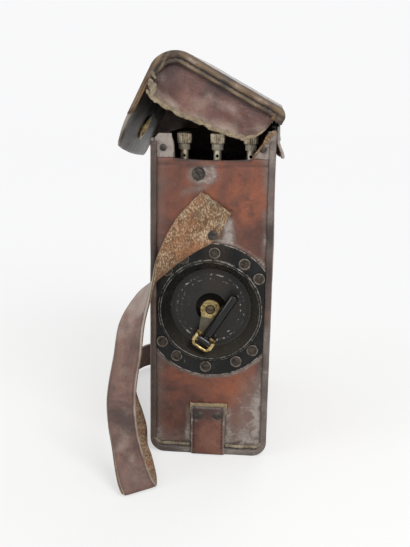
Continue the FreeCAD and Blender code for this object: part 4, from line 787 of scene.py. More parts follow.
def build_far_end():
    """The far end's panel, which is whole and has a slanting top."""
    def slanted(p):
        start = 240
        rise = (END_TOP + 4 * p.x / INSIDE - start) / (END_TOP - start)
        return p if p.z < start else Vector((p.x, p.y, start + (p.z - start) * rise))
    lump = panel(steps(BASE, END_TOP, 121, 0.8), full_width, 1, slanted)
    make("far_end_hide", [lump], [RED_HIDE], "telephone", ["far_panel"], panel_wear_and_sheen, panel_darkening)


def turned_out(p):
    """The near end's back ear curls outwards and back towards its top."""
    t = ease(p.z, LIP + 1, BACK_TOP)
    return Vector((p.x + (1 + 3.0 * ease(p.x, 30, 46)) * t, p.y - 4.5 * t * t, p.z - 0.5 * t))


def build_near_end():
    """The near end's panel: a sagging lip with an ear at each side, and the dish's hole."""
    def sagged(p):
        dip = 1.3 * (1 - min(1, abs(p.x) / 30) ** 2) * ease(p.z, LIP - 8, LIP)
        return Vector((p.x, p.y, p.z - dip))

    def front_ear(z):
        edge = read_off(EAR_FRONT, z) + 0.8 * rough((2, 3, z), 5, 8) * ease(z, LIP, 255)
        return steps(-INSIDE, -edge, 12, 0.8)

    def front_top(p):
        cut = max(0.0, -p.x - 43) * 1.3 * ease(p.z, 258, END_TOP)
        bulge = 0.9 * hump(p.x + 34, 4) * ease(p.z, 252, 262)
        return Vector((p.x, p.y - bulge, p.z - cut))
    points, faces = panel(steps(BASE, LIP, 151, 0.8), full_width, -1, sagged)
    lumps = [(points, opened(points, faces, lambda p: from_crank(p) <= DISH_HOLE)),
             panel(steps(LIP, END_TOP, 16, 0.8), front_ear, -1, front_top),
             panel(steps(LIP, BACK_TOP - 0.5, 20, 0.8),
                   lambda z: steps(read_off(EAR_BACK, z), INSIDE, 12, 0.8), -1, turned_out)]
    item = make("near_end_hide", lumps, [RED_HIDE, EDGE], "telephone", ["near_panel"],
                panel_wear_and_sheen, panel_darkening)
    paint(item, 1, lambda c, n: abs(n.y) < 0.5 and c.z > LIP + 3 and abs(c.x) < HALF - 5)

    sections = []
    for t in np.linspace(0, 1, 26):
        z = LIP - 0.5 + t * (BACK_TOP - LIP - 0.6)
        half, deep = 0.8 + 2.9 * t ** 0.8, 0.7 + 1.2 * t
        end = 0.35 if t in (0.0, 1.0) else 1.0
        centre = turned_out(Vector((read_off(EAR_BACK, z) + half * 0.55, -FACE - 0.9 * deep, z)))
        wide = half * end * (1 + 0.22 * rough((1, 5, z), 4, 2))
        sections.append(loop(centre, Vector((wide, 0, 0.45 * half)),
                             Vector((0, deep * end, 0)), 12))
    make("ear_roll", [tube(sections)], [FLESH], "telephone",
         soil_and_shade=lambda p: 0.35 * ease(LIP + 6 - p.z, 0, 5))


def welt_roll(sign):
    """The turned-over border round one end: a soft roll down, under and up its edge."""
    path = trough(HALF - WELT_WIDTH / 2, WELT_WIDTH / 2 + 0.2, CORNER - WELT_WIDTH / 2,
                  (FRONT_TOP - 2, BACK_TOP - 2), (70, 10, 40, 70))
    sections = []
    for k, (x, z) in enumerate(path):
        ahead = heading(path, k)
        out = Vector((ahead.y, -ahead.x)).normalized()
        if out.x * x < 0 and abs(x) > 30:
            out = -out
        if abs(x) < 36 and z < 20:
            out = Vector((0, -1))
        wave = 0.35 * rough((x, sign * 60, z), 14, 4) + 0.18 * rough((x, sign * 30, z), 4, 1)
        section = []
        for w in circle(14):
            across = math.cos(w) * (WELT_WIDTH / 2 + 0.15) + wave * 0.4
            proud = math.sin(w) * (1.3 + 0.4 * wave if math.sin(w) > 0 else 1.1)
            section.append(Vector((x + out.x * across, sign * (WELT_OUT - 0.9 + proud),
                                   max(0.15, z + out.y * across))))
        sections.append(section if sign < 0 else section[::-1])
    return tube(sections)


def foot_cord(sign, first, last):
    """Half of the corded seam above an end's foot."""
    sections = []
    for x in np.linspace(first, last, 110):
        swell = 0.85 + 0.35 * abs(math.sin(x * math.pi / 3.1)) + 0.2 * rough((x, 2, 2), 5)
        swell *= 0.4 if x in (first, last) else 1.0
        lift = 6.5 * ease(abs(x), 38, 47) ** 2 + 0.5 * rough((x, sign, 8), 12, 4)
        centre = Vector((x, sign * (FACE + 1.1), SOLE + WELT_WIDTH + 0.4 + lift))
        ring = loop(centre, Vector((0, 0, swell * 1.25)),
                    Vector((math.copysign(0.5, x), sign * swell, 0)), 8)
        sections.append(ring if sign < 0 else ring[::-1])
    return tube(sections)


def build_welts():
    """The borders round both ends, and the seams above their feet."""
    def wear_and_sheen(p):
        # The back roll's higher level is painted sheen, with pale scuffs.
        back = 0.42 if p.x > 0 else 0.12
        return min(1, back + 0.3 * ease(22 - p.z, 0, 14) + 0.35 * rough(p, 18, 3))
    make("end_rolls", [welt_roll(sign) for sign in (-1, 1)], [WELT_HIDE], "telephone",
         ["end_welts"], wear_and_sheen,
         lambda p: max(0, 0.25 * rough(p, 25, 7)) + (0.2 if p.x < -30 and p.z > 30 else 0.0))
    cords = [foot_cord(sign, *span) for sign in (-1, 1)
             for span in ((-46.5, -14.6), (14.6, 46.5))]
    make("foot_cords", cords, [SEAM], "telephone",
         soil_and_shade=lambda p: 0.35 * ease(rough(p, 4, 9), 0.0, 0.4) + (0.25 if p.x < 0 else 0))


def tab_backing(sign, rise):
    """The pale leather under one end of the tab, with a ragged top."""
    def across(z):
        wide = 12.9 + 2.6 * ease(z, rise - 10, rise - 5)
        return steps(-wide, wide, 18, 0.6)

    def point(z, x):
        ragged = 0.8 * rough((x, sign, z), 5, 7) if z > rise else 0
        return Vector((x, sign * (WELT_OUT + 0.12 * rough((x, 0, z), 4)), z + ragged))
    rows = grid(steps(SOLE + WELT_WIDTH, rise + 2.6, 20, 0.6), across, point, sign > 0)
    return slabbed(rows, 1.9, Vector((0, -sign, 0)), 0.6)


def build_tab():
    """The broad tab under the case, with its edges stitched, and the leather under its ends."""
    half, seam = 14, 2.4                       # the tab's half width, and its stitches' inset
    rise, out = high("base_strap", 2), high("base_strap", 1)
    path = trough(out, 0, SOLE, (rise, rise), (22, 5, 40, 22))
    rows, normals = [], []
    for k, (y, z) in enumerate(path):
        ahead = heading(path, k)
        normals.append(Vector((0, -ahead.y, ahead.x)).normalized())
        row = []
        for x in steps(-half, half, 15, 0.7):
            crown = 0.45 * ease(half - 2.6 - abs(x), 0, 1.2)
            groove = -0.35 * hump(abs(x) - half + seam, 0.5)
            lift = (crown + groove + 0.2 * rough((x, y, z), 9, 6)) * (1 if z > 1 else 0)
            row.append(Vector((x, y, z)) - normals[k] * lift)
        rows.append(row)

    def wear_and_sheen(p):
        crack = hump(p.z - 31 - 3 * rough(p, 4, 3), 1.3) * ease(rough(p, 5, 6), -0.3, 0.4)
        return 0.9 * (ease(abs(p.x), half - 2.2, half) + ease(p.z, rise - 2, rise) + crack)

    def soil_and_shade(p):
        return min(1, 0.5 * hump(abs(p.x) - half + seam, 0.6) +
                   0.55 * ease(p.z + 4 * rough(p, 5, 3), 30, 35))
    make("case_tab", [slabbed(rows, SOLE, lambda i, j: normals[i])], [TAB_HIDE], "telephone",
         ["base_strap"], wear_and_sheen, soil_and_shade)
    threads = []
    for sign in (-1, 1):
        for x in (seam - half, half - seam):
            line = [(x, sign * (out + 0.1), z) for z in np.linspace(5, rise - 2, 30)]
            threads += stitches(line, Vector((0, sign, 0)), 2.4, 1.0, 0.35)
    make("tab_stitching", threads, [DARK_THREAD], "telephone")
    make("tab_backing", [tab_backing(sign, rise) for sign in (-1, 1)], [EDGE], "telephone",
         ["tab_underlays"])


# ---------------------------------------------------------------- lid

BACK_BEND, FRONT_BEND = 8.0, 22.0              # radii of the lid's line at its back and front
LEAN = math.radians(2.2)                       # of the flap, from upright
LIP_RISE = 0.6                                 # where the lid's back lip starts over the hinge
TO_BACK = LID_TOP - BACK_BEND - LIP_RISE       # along the lid's line to its back bend,
TO_TOP = TO_BACK + BACK_BEND * math.pi / 2     # ... to its flat top,
TO_FLAP = TO_TOP - LID_FRONT - BACK_BEND - FRONT_BEND      # ... to its front bend
FLAP_START = TO_FLAP + FRONT_BEND * (math.pi / 2 - LEAN)   # ... and to its straight flap
FLAP_TOP_DROP = FRONT_BEND * (1 - math.sin(LEAN))          # of the flap's start below the top
SPAN = LID_HALF - 2.6                          # half the length of the hide between its borders
EYELET_DROP = 76                               # from the lid's top down to the closure's eyelet
GUSSET_THICK = 1.8
GUSSET_INSET = 5.0                             # of the gussets from the lid's top and ends

# Lower edges of the lid's ends: distance in front of the hinge, and share of a drop.
NEAR_FOOT = ((95, .985), (70, 1), (57, .93), (43, .905), (30, .845), (20, .78), (13, .64),
             (8.5, .43), (7, .16))
FAR_FOOT = ((104, 1.56), (99, 1.46), (93, 1.3), (86, 1.16), (79, 1.06), (70, .98), (60, .93),
            (40, .8), (25, .66), (14, .46), (8, .27), (7, .1))
# How far down the flap reaches at places along it: its near corner is worn round.
FLAP_FOOT = ((-99.4, 60), (-97, 71), (-93, 79), (-86, 86), (-76, 91), (-45, 96.5), (-10, 101.6),
             (25, 105.8), (55, 109), (80, 111.5), (92, 112), (97, 110.5), (99.4, 106))
SWING = Matrix.Rotation(LID_OPEN, 3, "Y")


def swung(p):
    """A point about the hinge, as the lid lies when shut, in the row frame at rest."""
    return HINGE + SWING @ Vector(p)


def shut(p):
    """The opposite of swung."""
    return SWING.inverted() @ (Vector(p) - HINGE)


def lid_point(s, y, inset=0.0):
    """A point of the lid's bent line, about the hinge, and the way outwards there.

    s is the length along the outer face, from the back lip over the top and down the flap, and
    inset is how far under that face the point lies."""
    def facing(turn):
        return Vector((math.cos(turn), math.sin(turn)))
    if s <= TO_BACK:
        turn, point = 0.0, Vector((0, LIP_RISE + s))
    elif s <= TO_TOP:
        turn = (s - TO_BACK) / BACK_BEND
        point = Vector((-BACK_BEND, LID_TOP - BACK_BEND)) + facing(turn) * BACK_BEND
    elif s <= TO_FLAP:
        turn, point = math.pi / 2, Vector((TO_TOP - s - BACK_BEND, LID_TOP))
    else:
        turn = math.pi / 2 + (min(s, FLAP_START) - TO_FLAP) / FRONT_BEND
        point = Vector((LID_FRONT + FRONT_BEND, LID_TOP - FRONT_BEND)) + \
            facing(turn) * FRONT_BEND
        if s > FLAP_START:
            turn = math.pi + LEAN
            point += Vector((math.sin(LEAN), -math.cos(LEAN))) * (s - FLAP_START)
    normal = facing(turn)
    point -= normal * inset
    return Vector((point.x, y, point.y)), Vector((normal.x, 0, normal.y))


def lid_dent(s, y):
    """Slack in the lid's hide, with a dip along its top and a soft wave in the flap."""
    dip = -0.9 * math.sin(math.pi * min(1, s / TO_FLAP)) * (1 - (y / LID_HALF) ** 2)
    return dip + 0.5 * rough((s, y, 0), 34, 9) + 0.15 * rough((s, y, 3), 9, 2)


def build_lid():
    """The lid's back, top and flap in one hide, with a hole for the eyelet."""
    rows, downs = [], []
    even = 0.66                                # share of the rows that is the same for every y
    for t in np.linspace(0, 1, 118):
        row, down = [], []
        for y in steps(-SPAN, SPAN, 96, 0.8):
            last = FLAP_START + (read_off(FLAP_FOOT, y) - FLAP_TOP_DROP) / math.cos(LEAN)
            bent = FLAP_START * 0.98
            s = t / even * bent if t <= even else bent + (last - bent) * (t - even) / (1 - even)
            p, normal = lid_point(s, y)
            row.append(swung(p + normal * lid_dent(s, y)))
            down.append(-(SWING @ normal))
        rows.append(row)
        downs.append(down)
    points, faces = slabbed(rows, LEATHER, lambda i, j: downs[i][j])
    hole, normal = lid_point(FLAP_START + EYELET_DROP - FLAP_TOP_DROP, 0)
    hole, axis = swung(hole), SWING @ normal

    def in_hole(p):
        away = p - hole
        return (away - axis * away.dot(axis)).length <= 10.0

    def wear_and_sheen(p):
        at = shut(p)
        fold = hump(at.x + 103, 9) * ease(at.z, -14, 6)
        return min(1, 0.2 + 0.6 * ease(abs(p.y), SPAN - 14, SPAN) + 0.5 * fold +
                   0.45 * ease(-at.z, 76, 96))

    def soil_and_shade(p):
        at = shut(p)
        under = at.z < LID_TOP - 1.6 and at.x > LID_FRONT + 24
        behind = at.z < LID_TOP - 20 and at.x > LID_FRONT + 1.5 - math.tan(LEAN) * at.z
        if behind and not under:
            streak = rough((p.x * 0.6 + p.z * 0.5, p.y * 0.25, 3), 9, 5)
            return min(1, max(0, 0.22 - 1.3 * streak + 0.5 * ease(p.y, -70, -10)))
        return 0.85 if under else 0.0
    item = make("lid_hide", [(points, opened(points, faces, in_hole))], [LID_HIDE, DARK_FLESH],
                "lid", ["lid_shell"], wear_and_sheen, soil_and_shade)
    for face in item.data.polygons:            # the second half of the points is the inside
        if min(face.vertices) >= len(points) // 2:
            face.material_index = 1


BAND_OUTLINE = [                               # (outwards, inwards) from the lid's end and face
    (-3.2, 0.0), (-1.6, 0.05), (-0.6, 0.5), (0.0, 1.4), (0.25, 3.0), (0.1, 4.8), (-0.5, 5.7),
    (-1.3, 6.0), (-0.8, 6.5), (-0.4, 7.6), (-0.6, 8.8), (-1.2, 9.6), (-2.2, 9.7), (-3.2, 9.2),
    (-4.2, 3.4)]
BAND_GROOVE = 6.3                              # how far in the border's groove and stitches lie


def lid_band(side, last):
    """The thick border along one end of the lid, worn thin down the near side of the flap."""
    sections = []
    for s in np.linspace(0.4, last, 170):
        thin = 1 - 0.55 * ease(s, FLAP_START - 4, FLAP_START + 14) if side < 0 else 1.0
        close = 0.35 + 0.65 * ease(last - s, 0, 4)
        section = []
        for out, inset in BAND_OUTLINE:
            wave = 0.5 * rough((s, side * 9, inset), 12, 2) + \
                0.3 * rough((s, side * 5, inset), 4, 7)
            y = side * (LID_HALF + min(out + wave * 0.5, 0.3))
            section.append(swung(lid_point(s, y, (inset + 0.5 * wave) * thin * close)[0]))
        sections.append(section if side > 0 else section[::-1])
    return tube(sections)


def gusset_foot(x, side):
    """The height about the hinge of a gusset's lower edge, without its tears."""
    table, drop = (NEAR_FOOT, 41) if side < 0 else (FAR_FOOT, 64)
    corner = (-LID_FRONT - 3.4, table[0][1] * 0.9)
    return LID_TOP - LEATHER - drop * read_off(sorted((*table, corner)), -x)


def torn_foot(x, side):
    """The height about the hinge of a gusset's lower edge, with its tears."""
    return gusset_foot(x, side) + 0.9 * rough((x, side * 3, 0), 6, 4) + \
        0.5 * rough((x, side * 3, 0), 2.0, 6)


def gusset(side):
    """The leather that closes the lid's end: torn short at the near end, whole at the far one."""
    bend = FRONT_BEND - GUSSET_INSET
    rows = []
    for x in np.linspace(-4.2, LID_FRONT + 3.6, 90):
        over = x - (LID_FRONT + FRONT_BEND)
        head = LID_TOP - GUSSET_INSET if over >= 0 else \
            LID_TOP - FRONT_BEND + math.sqrt(max(0.0, bend ** 2 - over ** 2))
        bottom = min(torn_foot(x, side), head - 1.5)
        row = []
        for t in steps(0, 1, 26, 0.03):
            z = head + (bottom - head) * t
            belly = 1.2 * math.sin(math.pi * t) + 0.8 * rough((x * 0.6, side * 20, z), 15, 3) * t
            crease = 0.9 * rough((x * 0.35 + z * 0.8, 2, z * 0.9 - x * 0.2), 7, 5)
            curl = 1.3 * ease(t, 0.88, 1.0)
            out = min(belly + crease * math.sin(math.pi * t) + curl, 2.8)
            row.append(swung((x, side * (LID_HALF - GUSSET_INSET + out), z)))
        rows.append(row if side > 0 else row[::-1])
    return slabbed(rows, GUSSET_THICK, Vector((0, -side, 0)), 0.6)


def gusset_wear_and_highlight(p):
    """Streaks over a gusset, most of them low down, and a painted highlight low down over the back
    half of its length.
    """
    at = shut(p)
    level = 0.14 + 0.4 * rough((at.x * 0.5, 0, at.z), 9, 3)
    # Painted highlight low on the gusset's back half.
    level += 0.2 * ease(at.x, -75, -45) * ease(-at.z, 0, 12)
    return min(1, max(0, level + 0.35 * ease(-at.z, 16, 30)))


def torn_lobe(x, z, tall, wide, turn):
    """A curled end of leather where the near gusset has come away from the flap."""
    sections = []
    for t in np.linspace(0, 1, 14):
        swell = math.sin(math.pi * min(0.98, 0.06 + 0.92 * t)) ** 0.5
        centre = Vector((x + math.sin(turn) * (t - 0.5) * tall + 0.5 * rough((t * 20, x, 0), 5),
                         -LID_HALF + 1.2 - 0.9 * swell, z + math.cos(turn) * (0.5 - t) * tall))
        ring = loop(centre, Vector((wide * swell, 0, 0.4 * swell)), Vector((0, -0.8, 0)), 10)
        sections.append([swung(p) for p in ring])
    return tube(sections)


def gusset_rim():
    """The swollen, fibrous edge along the near gusset's tear."""
    first, last = -9, -103
    sections = []
    for x in np.linspace(first, last, 90):
        swell = max(0.35, 1.05 + 0.7 * rough((x, 4, 0), 5, 3) + 0.35 * rough((x, 4, 0), 1.7, 5))
        swell *= 0.3 if x in (first, last) else 1.0
        ring = loop(Vector((x, -LID_HALF + 1.6, torn_foot(x, -1) + 0.9)),
                    Vector((0, 0, 1.5 * swell)), Vector((0.4, -0.75 * swell, 0)), 10)
        sections.append([swung(p) for p in ring])
    return tube(sections)


def edge_depth(p):
    """How far in from the lid's outer face a point of its end lies."""
    at = shut(p)
    return LID_TOP - at.z if at.x > LID_FRONT + 14 else at.x - LID_FRONT


def build_lid_trim():
    """Thick borders with a groove and a few stitches, gussets, and the torn corner."""
    bands, threads = [], []
    for side, drop in ((-1, 62), (1, 72)):     # drop is how far down the flap a border reaches
        last = FLAP_START + (drop - FLAP_TOP_DROP)
        bands.append(lid_band(side, last))
        line = [swung(lid_point(s, side * (LID_HALF - 0.5), BAND_GROOVE)[0])
                for s in np.linspace(10, FLAP_START - 6 if side < 0 else last - 6, 160)]
        threads += stitches(line, Vector((0, side, 0)), 2.2, 2.6, 0.3, 0.25)

    def band_wear(p):
        depth = edge_depth(p)
        return max(0, 0.5 * hump(depth - 3.4, 1.4) + 0.4 * hump(depth - 8.2, 1.2) +
                   0.4 * rough(p, 12, 5) + 0.1)

    def band_soil(p):
        depth = edge_depth(p)
        return min(1, 0.95 * hump(depth - BAND_GROOVE, 0.7) + 0.5 * ease(0.8 - depth, 0, 1.2))

    def gusset_soil_and_shade(p):
        inside = abs(p.y) < LID_HALF - GUSSET_INSET - 0.4
        # The dark band just under the border is painted shade; the gusset's inner face is darker
        # too.
        return 0.85 if inside else 0.55 * hump(edge_depth(p) - 9.5, 2.2)

    def on_foot(centre, normal):
        at = shut(centre)
        return at.z < gusset_foot(at.x, centre.y) + 3.0 + 1.8 * rough((at.x, 1, 0), 5, 3)
    make("lid_bands", bands, [BAND_HIDE], "lid", ["lid_borders"], band_wear, band_soil)
    make("lid_stitching", threads, [DARK_THREAD], "lid")
    item = make("lid_gusset_hide", [gusset(-1), gusset(1)], [PINK_HIDE, SEAM], "lid",
                ["lid_gussets"], gusset_wear_and_highlight, gusset_soil_and_shade)
    paint(item, 1, on_foot)
    lobes = [torn_lobe(-101.5, -21.5, 8.5, 2.6, 0.5), torn_lobe(-98.3, -24.0, 10.5, 2.4, 0.25),
             torn_lobe(-103.6, -14.0, 7.0, 2.2, 0.9)]
    make("torn_corner", lobes, [SEAM], "lid",
         soil_and_shade=lambda p: 0.5 * ease(rough(p, 3.5, 2), 0.0, 0.4))
    make("gusset_rim", [gusset_rim()], [RIM], "lid",
         soil_and_shade=lambda p: 0.4 * ease(rough(p, 3, 2), 0.05, 0.4))


def build_hinge_leather():
    """The strip that joins the lid to the back, its stitches, and the roll inside its bend."""
    foot, top = low("hinge_leather", 2), high("hinge_leather", 2)
    inner, outer = low("hinge_leather", 0), high("hinge_leather", 0)
    half = high("hinge_leather", 1)

    def point(z, y):
        ragged = 1.3 * rough((0, y, 9), 9, 4) if z < foot + 2 else 0
        flare = 4.2 * ease(foot + 15 - z, 0, 15) * ease(-y, 40, half)
        return Vector((outer + flare + 0.25 * rough((3, y, z), 10, 1), y, z + ragged))
    rows = grid(steps(foot, top, 16, 0.7), lambda z: steps(-half, half, 80, 0.7), point)
    make("hinge_hide", [slabbed(rows, outer - inner, Vector((-1, 0, 0)))], [LID_HIDE],
         "telephone", ["hinge_leather"], lambda p: 0.5 + 0.4 * ease(foot + 4 - p.z, 0, 4))
    threads = []
    for z in (foot + 5, foot + 14):
        line = [(outer + 0.2, y, z) for y in np.linspace(3 - half, half - 3, 60)]
        threads += stitches(line, Vector((1, 0, 0)), 3.0, 1.4, 0.4)
    make("hinge_stitching", threads, [DARK_THREAD], "telephone")
    sections = []
    for y in np.linspace(-92, 92, 40):
        radius = 1.75 + 0.2 * rough((47, y, 274), 12, 3)
        sections.append(loop(Vector((46.8, y, 274.2)), Vector((radius, 0, 0)),
                             Vector((0, 0, radius)), 12))
    make("hinge_fold", [tube(sections)], [DARK_FLESH], "telephone", soil_and_shade=lambda p: 0.6)


# ---------------------------------------------------------------- carrying strap

STRAP = [                                      # both edges, from the near end to the far end
    ((-6.8, -94.5, 225), (16.5, -94.5, 208.5)), ((-18, -94.5, 213), (10, -94.5, 195.5)),
    ((-28, -95.4, 201.5), (3, -95, 184.5)), ((-36, -99.3, 187), (-12, -99.8, 175.5)),
    ((-41, -113, 172), (-26, -100, 166)), ((-42.5, -121, 157), (-42, -99.5, 153)),
    ((-44, -123, 147), (-55, -99.5, 143)), ((-45.5, -124.5, 137), (-64.5, -103, 132)),
    ((-48.5, -127.5, 122), (-72, -113, 117)), ((-50.1, -134, 99.5), (-74.5, -122, 94)),
    ((-52.4, -139, 80.6), (-77, -129, 75)), ((-52.8, -144, 64.4), (-77.5, -136, 59.5)),
    ((-50.8, -149, 46.7), (-75, -143, 43)), ((-46.6, -153, 30.4), (-70.5, -151.5, 29)),
    ((-42.2, -155.5, 17.7), (-66.5, -161, 18)), ((-38, -157.5, 8), (-62, -170, 8)),
    ((-34.5, -157, 2.3), (-57.5, -175, 2.2)), ((-35.5, -147, 1.9), (-58.5, -164.5, 1.9)),
    ((-39, -133, 2.4), (-63, -145, 1.8)), ((-45.2, -112, 4.2), (-69.5, -120, 1.9)),
    ((-51.4, -94.5, 6.4), (-75, -101, 2)), ((-57, -67, 10.5), (-80.5, -74, 2.3)),
    ((-65, -44, 15.5), (-86, -53, 2.5)), ((-75, -17, 20), (-91.5, -25, 2.6)),
    ((-84, 14, 24), (-96, 8, 2.4)), ((-91, 43, 26), (-99, 40, 2)), ((-95, 72, 27), (-97, 72, 1.8)),
    ((-88, 102, 27.4), (-89.5, 103.5, 1.8)), ((-70, 117, 31), (-70, 121, 5)),
    ((-52, 124, 48), (-48, 130, 23)), ((-38, 125, 76), (-26, 131, 54)),
    ((-28, 120, 108), (-6, 124, 95)), ((-21.5, 111, 138), (5.5, 112.5, 132)),
    ((-17, 100.5, 160), (11, 101, 158)), ((-15, 95.8, 173), (13, 95.8, 172)),
    ((-14, 94.5, 184), (14, 94.5, 184)), ((-13.5, 94.5, 195), (14.5, 94.5, 195)),
    ((-13, 94.5, 206), (15, 94.5, 206)), ((-13, 94.5, 216), (15, 94.5, 216)),
]
STRAP_THICK = 2.8


def eased(points, parts):
    """Points on a smooth curve through the given ones, some to each stretch."""
    curve = []
    for k in range(len(points) - 1):
        p0, p1 = points[max(k - 1, 0)], points[k]
        p2, p3 = points[k + 1], points[min(k + 2, len(points) - 1)]
        for t in np.arange(parts) / parts:
            curve.append(0.5 * (2 * p1 + (p2 - p0) * t + (2 * p0 - 5 * p1 + 4 * p2 - p3) * t * t +
                                (3 * p1 - p0 - 3 * p2 + p3) * t ** 3))
    return curve + [points[-1]]


def build_strap():
    """The carrying strap: flesh side out where it is riveted on, then turned to its grain."""
    lefts, rights = (eased([Vector(pair[k]) for pair in STRAP], 8) for k in (0, 1))
    middles = [(a + b) / 2 for a, b in zip(lefts, rights)]
    creases = (0.085, 0.915)                   # across the strap, where its edges were pressed
    shares = [0.0, 0.02, 0.05, 0.085, 0.12, *np.linspace(0.2, 0.8, 9), 0.88, 0.915, 0.95, 0.98,
              1.0]
    rims = [0.45, 0.8, 0.97] + [1.0] * 13 + [0.97, 0.8, 0.45]
    thick = STRAP_THICK / 2
    sections, wear_and_sheen_values, soil_and_shade_values = [], [], []
    last = len(middles) - 1
    for k in range(last + 1):
        ahead = heading(middles, k).normalized()
        across = (rights[k] - lefts[k]).normalized()
        out = across.cross(ahead).normalized()
        torn_near, torn_far = max(0, 3 - k), max(0, 3 - (last - k))
        front, back, wear_and_sheen = [], [], []
        for t, rim in zip(shares, rims):
            p = lefts[k].lerp(rights[k], t)
            p += ahead * torn_near * 0.7 * (1 + 1.2 * rough((t * 30, 0, 0), 4, 3))
            p -= ahead * torn_far * 0.5 * (1 + rough((t * 30, 5, 0), 5, 3))
            half = thick * rim * (1 - 0.12 * abs(rough(p, 6, 8)))
            flat = p.y < -90 and p.z > 180 or p.z < 4
            shift = out * (0.3 * rough(p, 15, 5)) * (0.2 if flat else 1.0)
            crease = 0.3 if t in creases else 0.0
            front.append((p + shift - out * half, max(0, 0.5 * rough(p, 14, 3))))
            back.append((p + shift + out * (half - crease), 0.55 if crease else 0.0))
            # The rise at the strap's middle height is painted sheen; the rest is wear at its edges
            # and at random.
            wear_and_sheen.append(min(1, max(0, 0.12 + 0.22 * rough(p, 24, 1) + 0.25 * rough(p, 9, 6) +
                                   0.5 * ease(abs(t - 0.5), 0.42, 0.5) +
                                   0.6 * hump(p.z - 146, 32))))
        for j in range(3):
            point, dirt = back[-1 - j]
            back[-1 - j] = point - across * (1.2 - 0.35 * j), dirt
        # The split's middle point is painted dark: a painted shadow line along the strap's right
        # edge, carried with the dirt values.
        split = [(rights[k] - out * thick * 0.1, 0.0),
                 (rights[k] - across * 1.7 + out * thick * 0.15, 0.95),
                 (rights[k] - across * 1.0 + out * thick * 0.5, 0.0)]
        ring = front + split + back[::-1] + [(lefts[k] + across * 0.55, 0.9)]
        sections.append([point for point, dirt in ring])
        soil_and_shade_values += [dirt for point, dirt in ring]
        wear_and_sheen_values += wear_and_sheen + [0.2] * 3 + wear_and_sheen[::-1] + [0.2]
    item = make("strap_hide", [tube(sections)], [STRAP_HIDE, FLESH, EDGE], "telephone",
                ["carrying_strap"], wear_and_sheen_values, soil_and_shade_values)
    count, sides = len(shares), len(sections[0])
    rim_spots = {count, count + 1, count + 2, sides - 1}
    for face in item.data.polygons:
        spots = {k % sides for k in face.vertices}
        cut = spots & rim_spots or len(face.vertices) > 4
        face.material_index = 2 if cut else 1 if max(spots) < count else 0


# ---------------------------------------------------------------- metal pieces

RIVET_CIRCLE = 47.91                           # radius that the flange's rivets lie on
RIVET_TURNS = (0, 31, 51, 129, 149, 180, 211, 231, 309, 329)
RIVET_START = 3.5                              # degrees that the flange is turned by
NUT_RAISED = 1.6                               # how much taller than the CAD's a nut's head is


def lathed(profile, place, axis, columns=40, ribs=0, rib_depth=0.0, ribbed=None):
    """A turned piece from (radius, height) pairs along an axis from a point, ribbed if asked."""
    forward = Vector(axis).normalized()
    across = forward.orthogonal().normalized()
    over = forward.cross(across)
    sections = []
    for radius, height in profile:
        depth = rib_depth if ribbed and ribbed(radius, height) else 0.0
        ring = [Vector(place) + forward * height + (across * math.cos(w) + over * math.sin(w)) *
                (radius - depth * (0.5 - 0.5 * math.cos(w * ribs))) for w in circle(columns)]
        sections.append(ring[::-1])
    return tube(sections)


def build_nuts():
    """Binding nuts: a ribbed head over a smooth collar."""
    collar, head = 4.6, 5.2                    # the collar's radius, and where the head starts
    for name in ("left", "centre", "right"):
        node = "binding_nut_" + name
        lowest = low(node, 2)
        tall = high(node, 2) - lowest + NUT_RAISED
        radius = (high(node, 0) - low(node, 0)) / 2
        profile = [(3.2, 0.0), (collar - 0.4, 0), (collar, 0.4), (collar, head - 0.5),
                   (radius - 0.6, head - 0.1), (radius, head + 0.5), (radius, tall - 1.7),
                   (radius - 0.35, tall - 1.1), (radius - 1.2, tall - 0.4), (radius - 2.6, tall),
                   (0.3, tall)]
        lump = lathed(profile, (centre_of(node, 0), centre_of(node, 1), lowest), (0, 0, 1), 160,
                      20, 0.9, lambda r, h: head < h < tall - 1.5 and r > 5)
        item = make("nut_" + name, [lump], [COLLAR, KNURL], name + "_nut", [node])
        paint(item, 1, lambda c, n: c.z > lowest + head - 0.3)


def build_crank_trim():
    """The handle's turned barrel, and the bright bow that closes its clevis."""
    pin = Vector((-4.694, -96.2, 100.927))     # the joint handle_fold's place
    along, across = Vector((0.54024, 0, 0.84151)), Vector((0.84151, 0, -0.54024))
    profile = [(2.6, 5.2), (3.3, 5.4), (4.0, 7.0), (4.0, 43.6), (3.75, 45.2), (3.0, 46.2),
               (0.3, 46.4)]
    make("handle_barrel", [lathed(profile, pin, along, 40)], [HANDLE], "handle")
    half = [(7.4, -2.4), (7.4, 0.5), (7.4, 3.4), (6.6, 5.2), (5.0, 6.0)]
    path = [(-x, down) for x, down in half] + [(0, 6.0)] + half[::-1]
    sections = []
    for k, (x, down) in enumerate(path):
        ahead = heading(path, k)
        out = (across * -ahead.y - along * ahead.x).normalized()
        centre = pin + across * x - along * down
        sections.append([centre + out * thick + Vector((0, deep, 0)) for thick, deep in
                         ((-1.0, -2.6), (1.0, -2.6), (1.0, 0.8), (-1.0, 0.8))])
    make("clevis_bow", [tube(sections)], [BRASS], "crank")


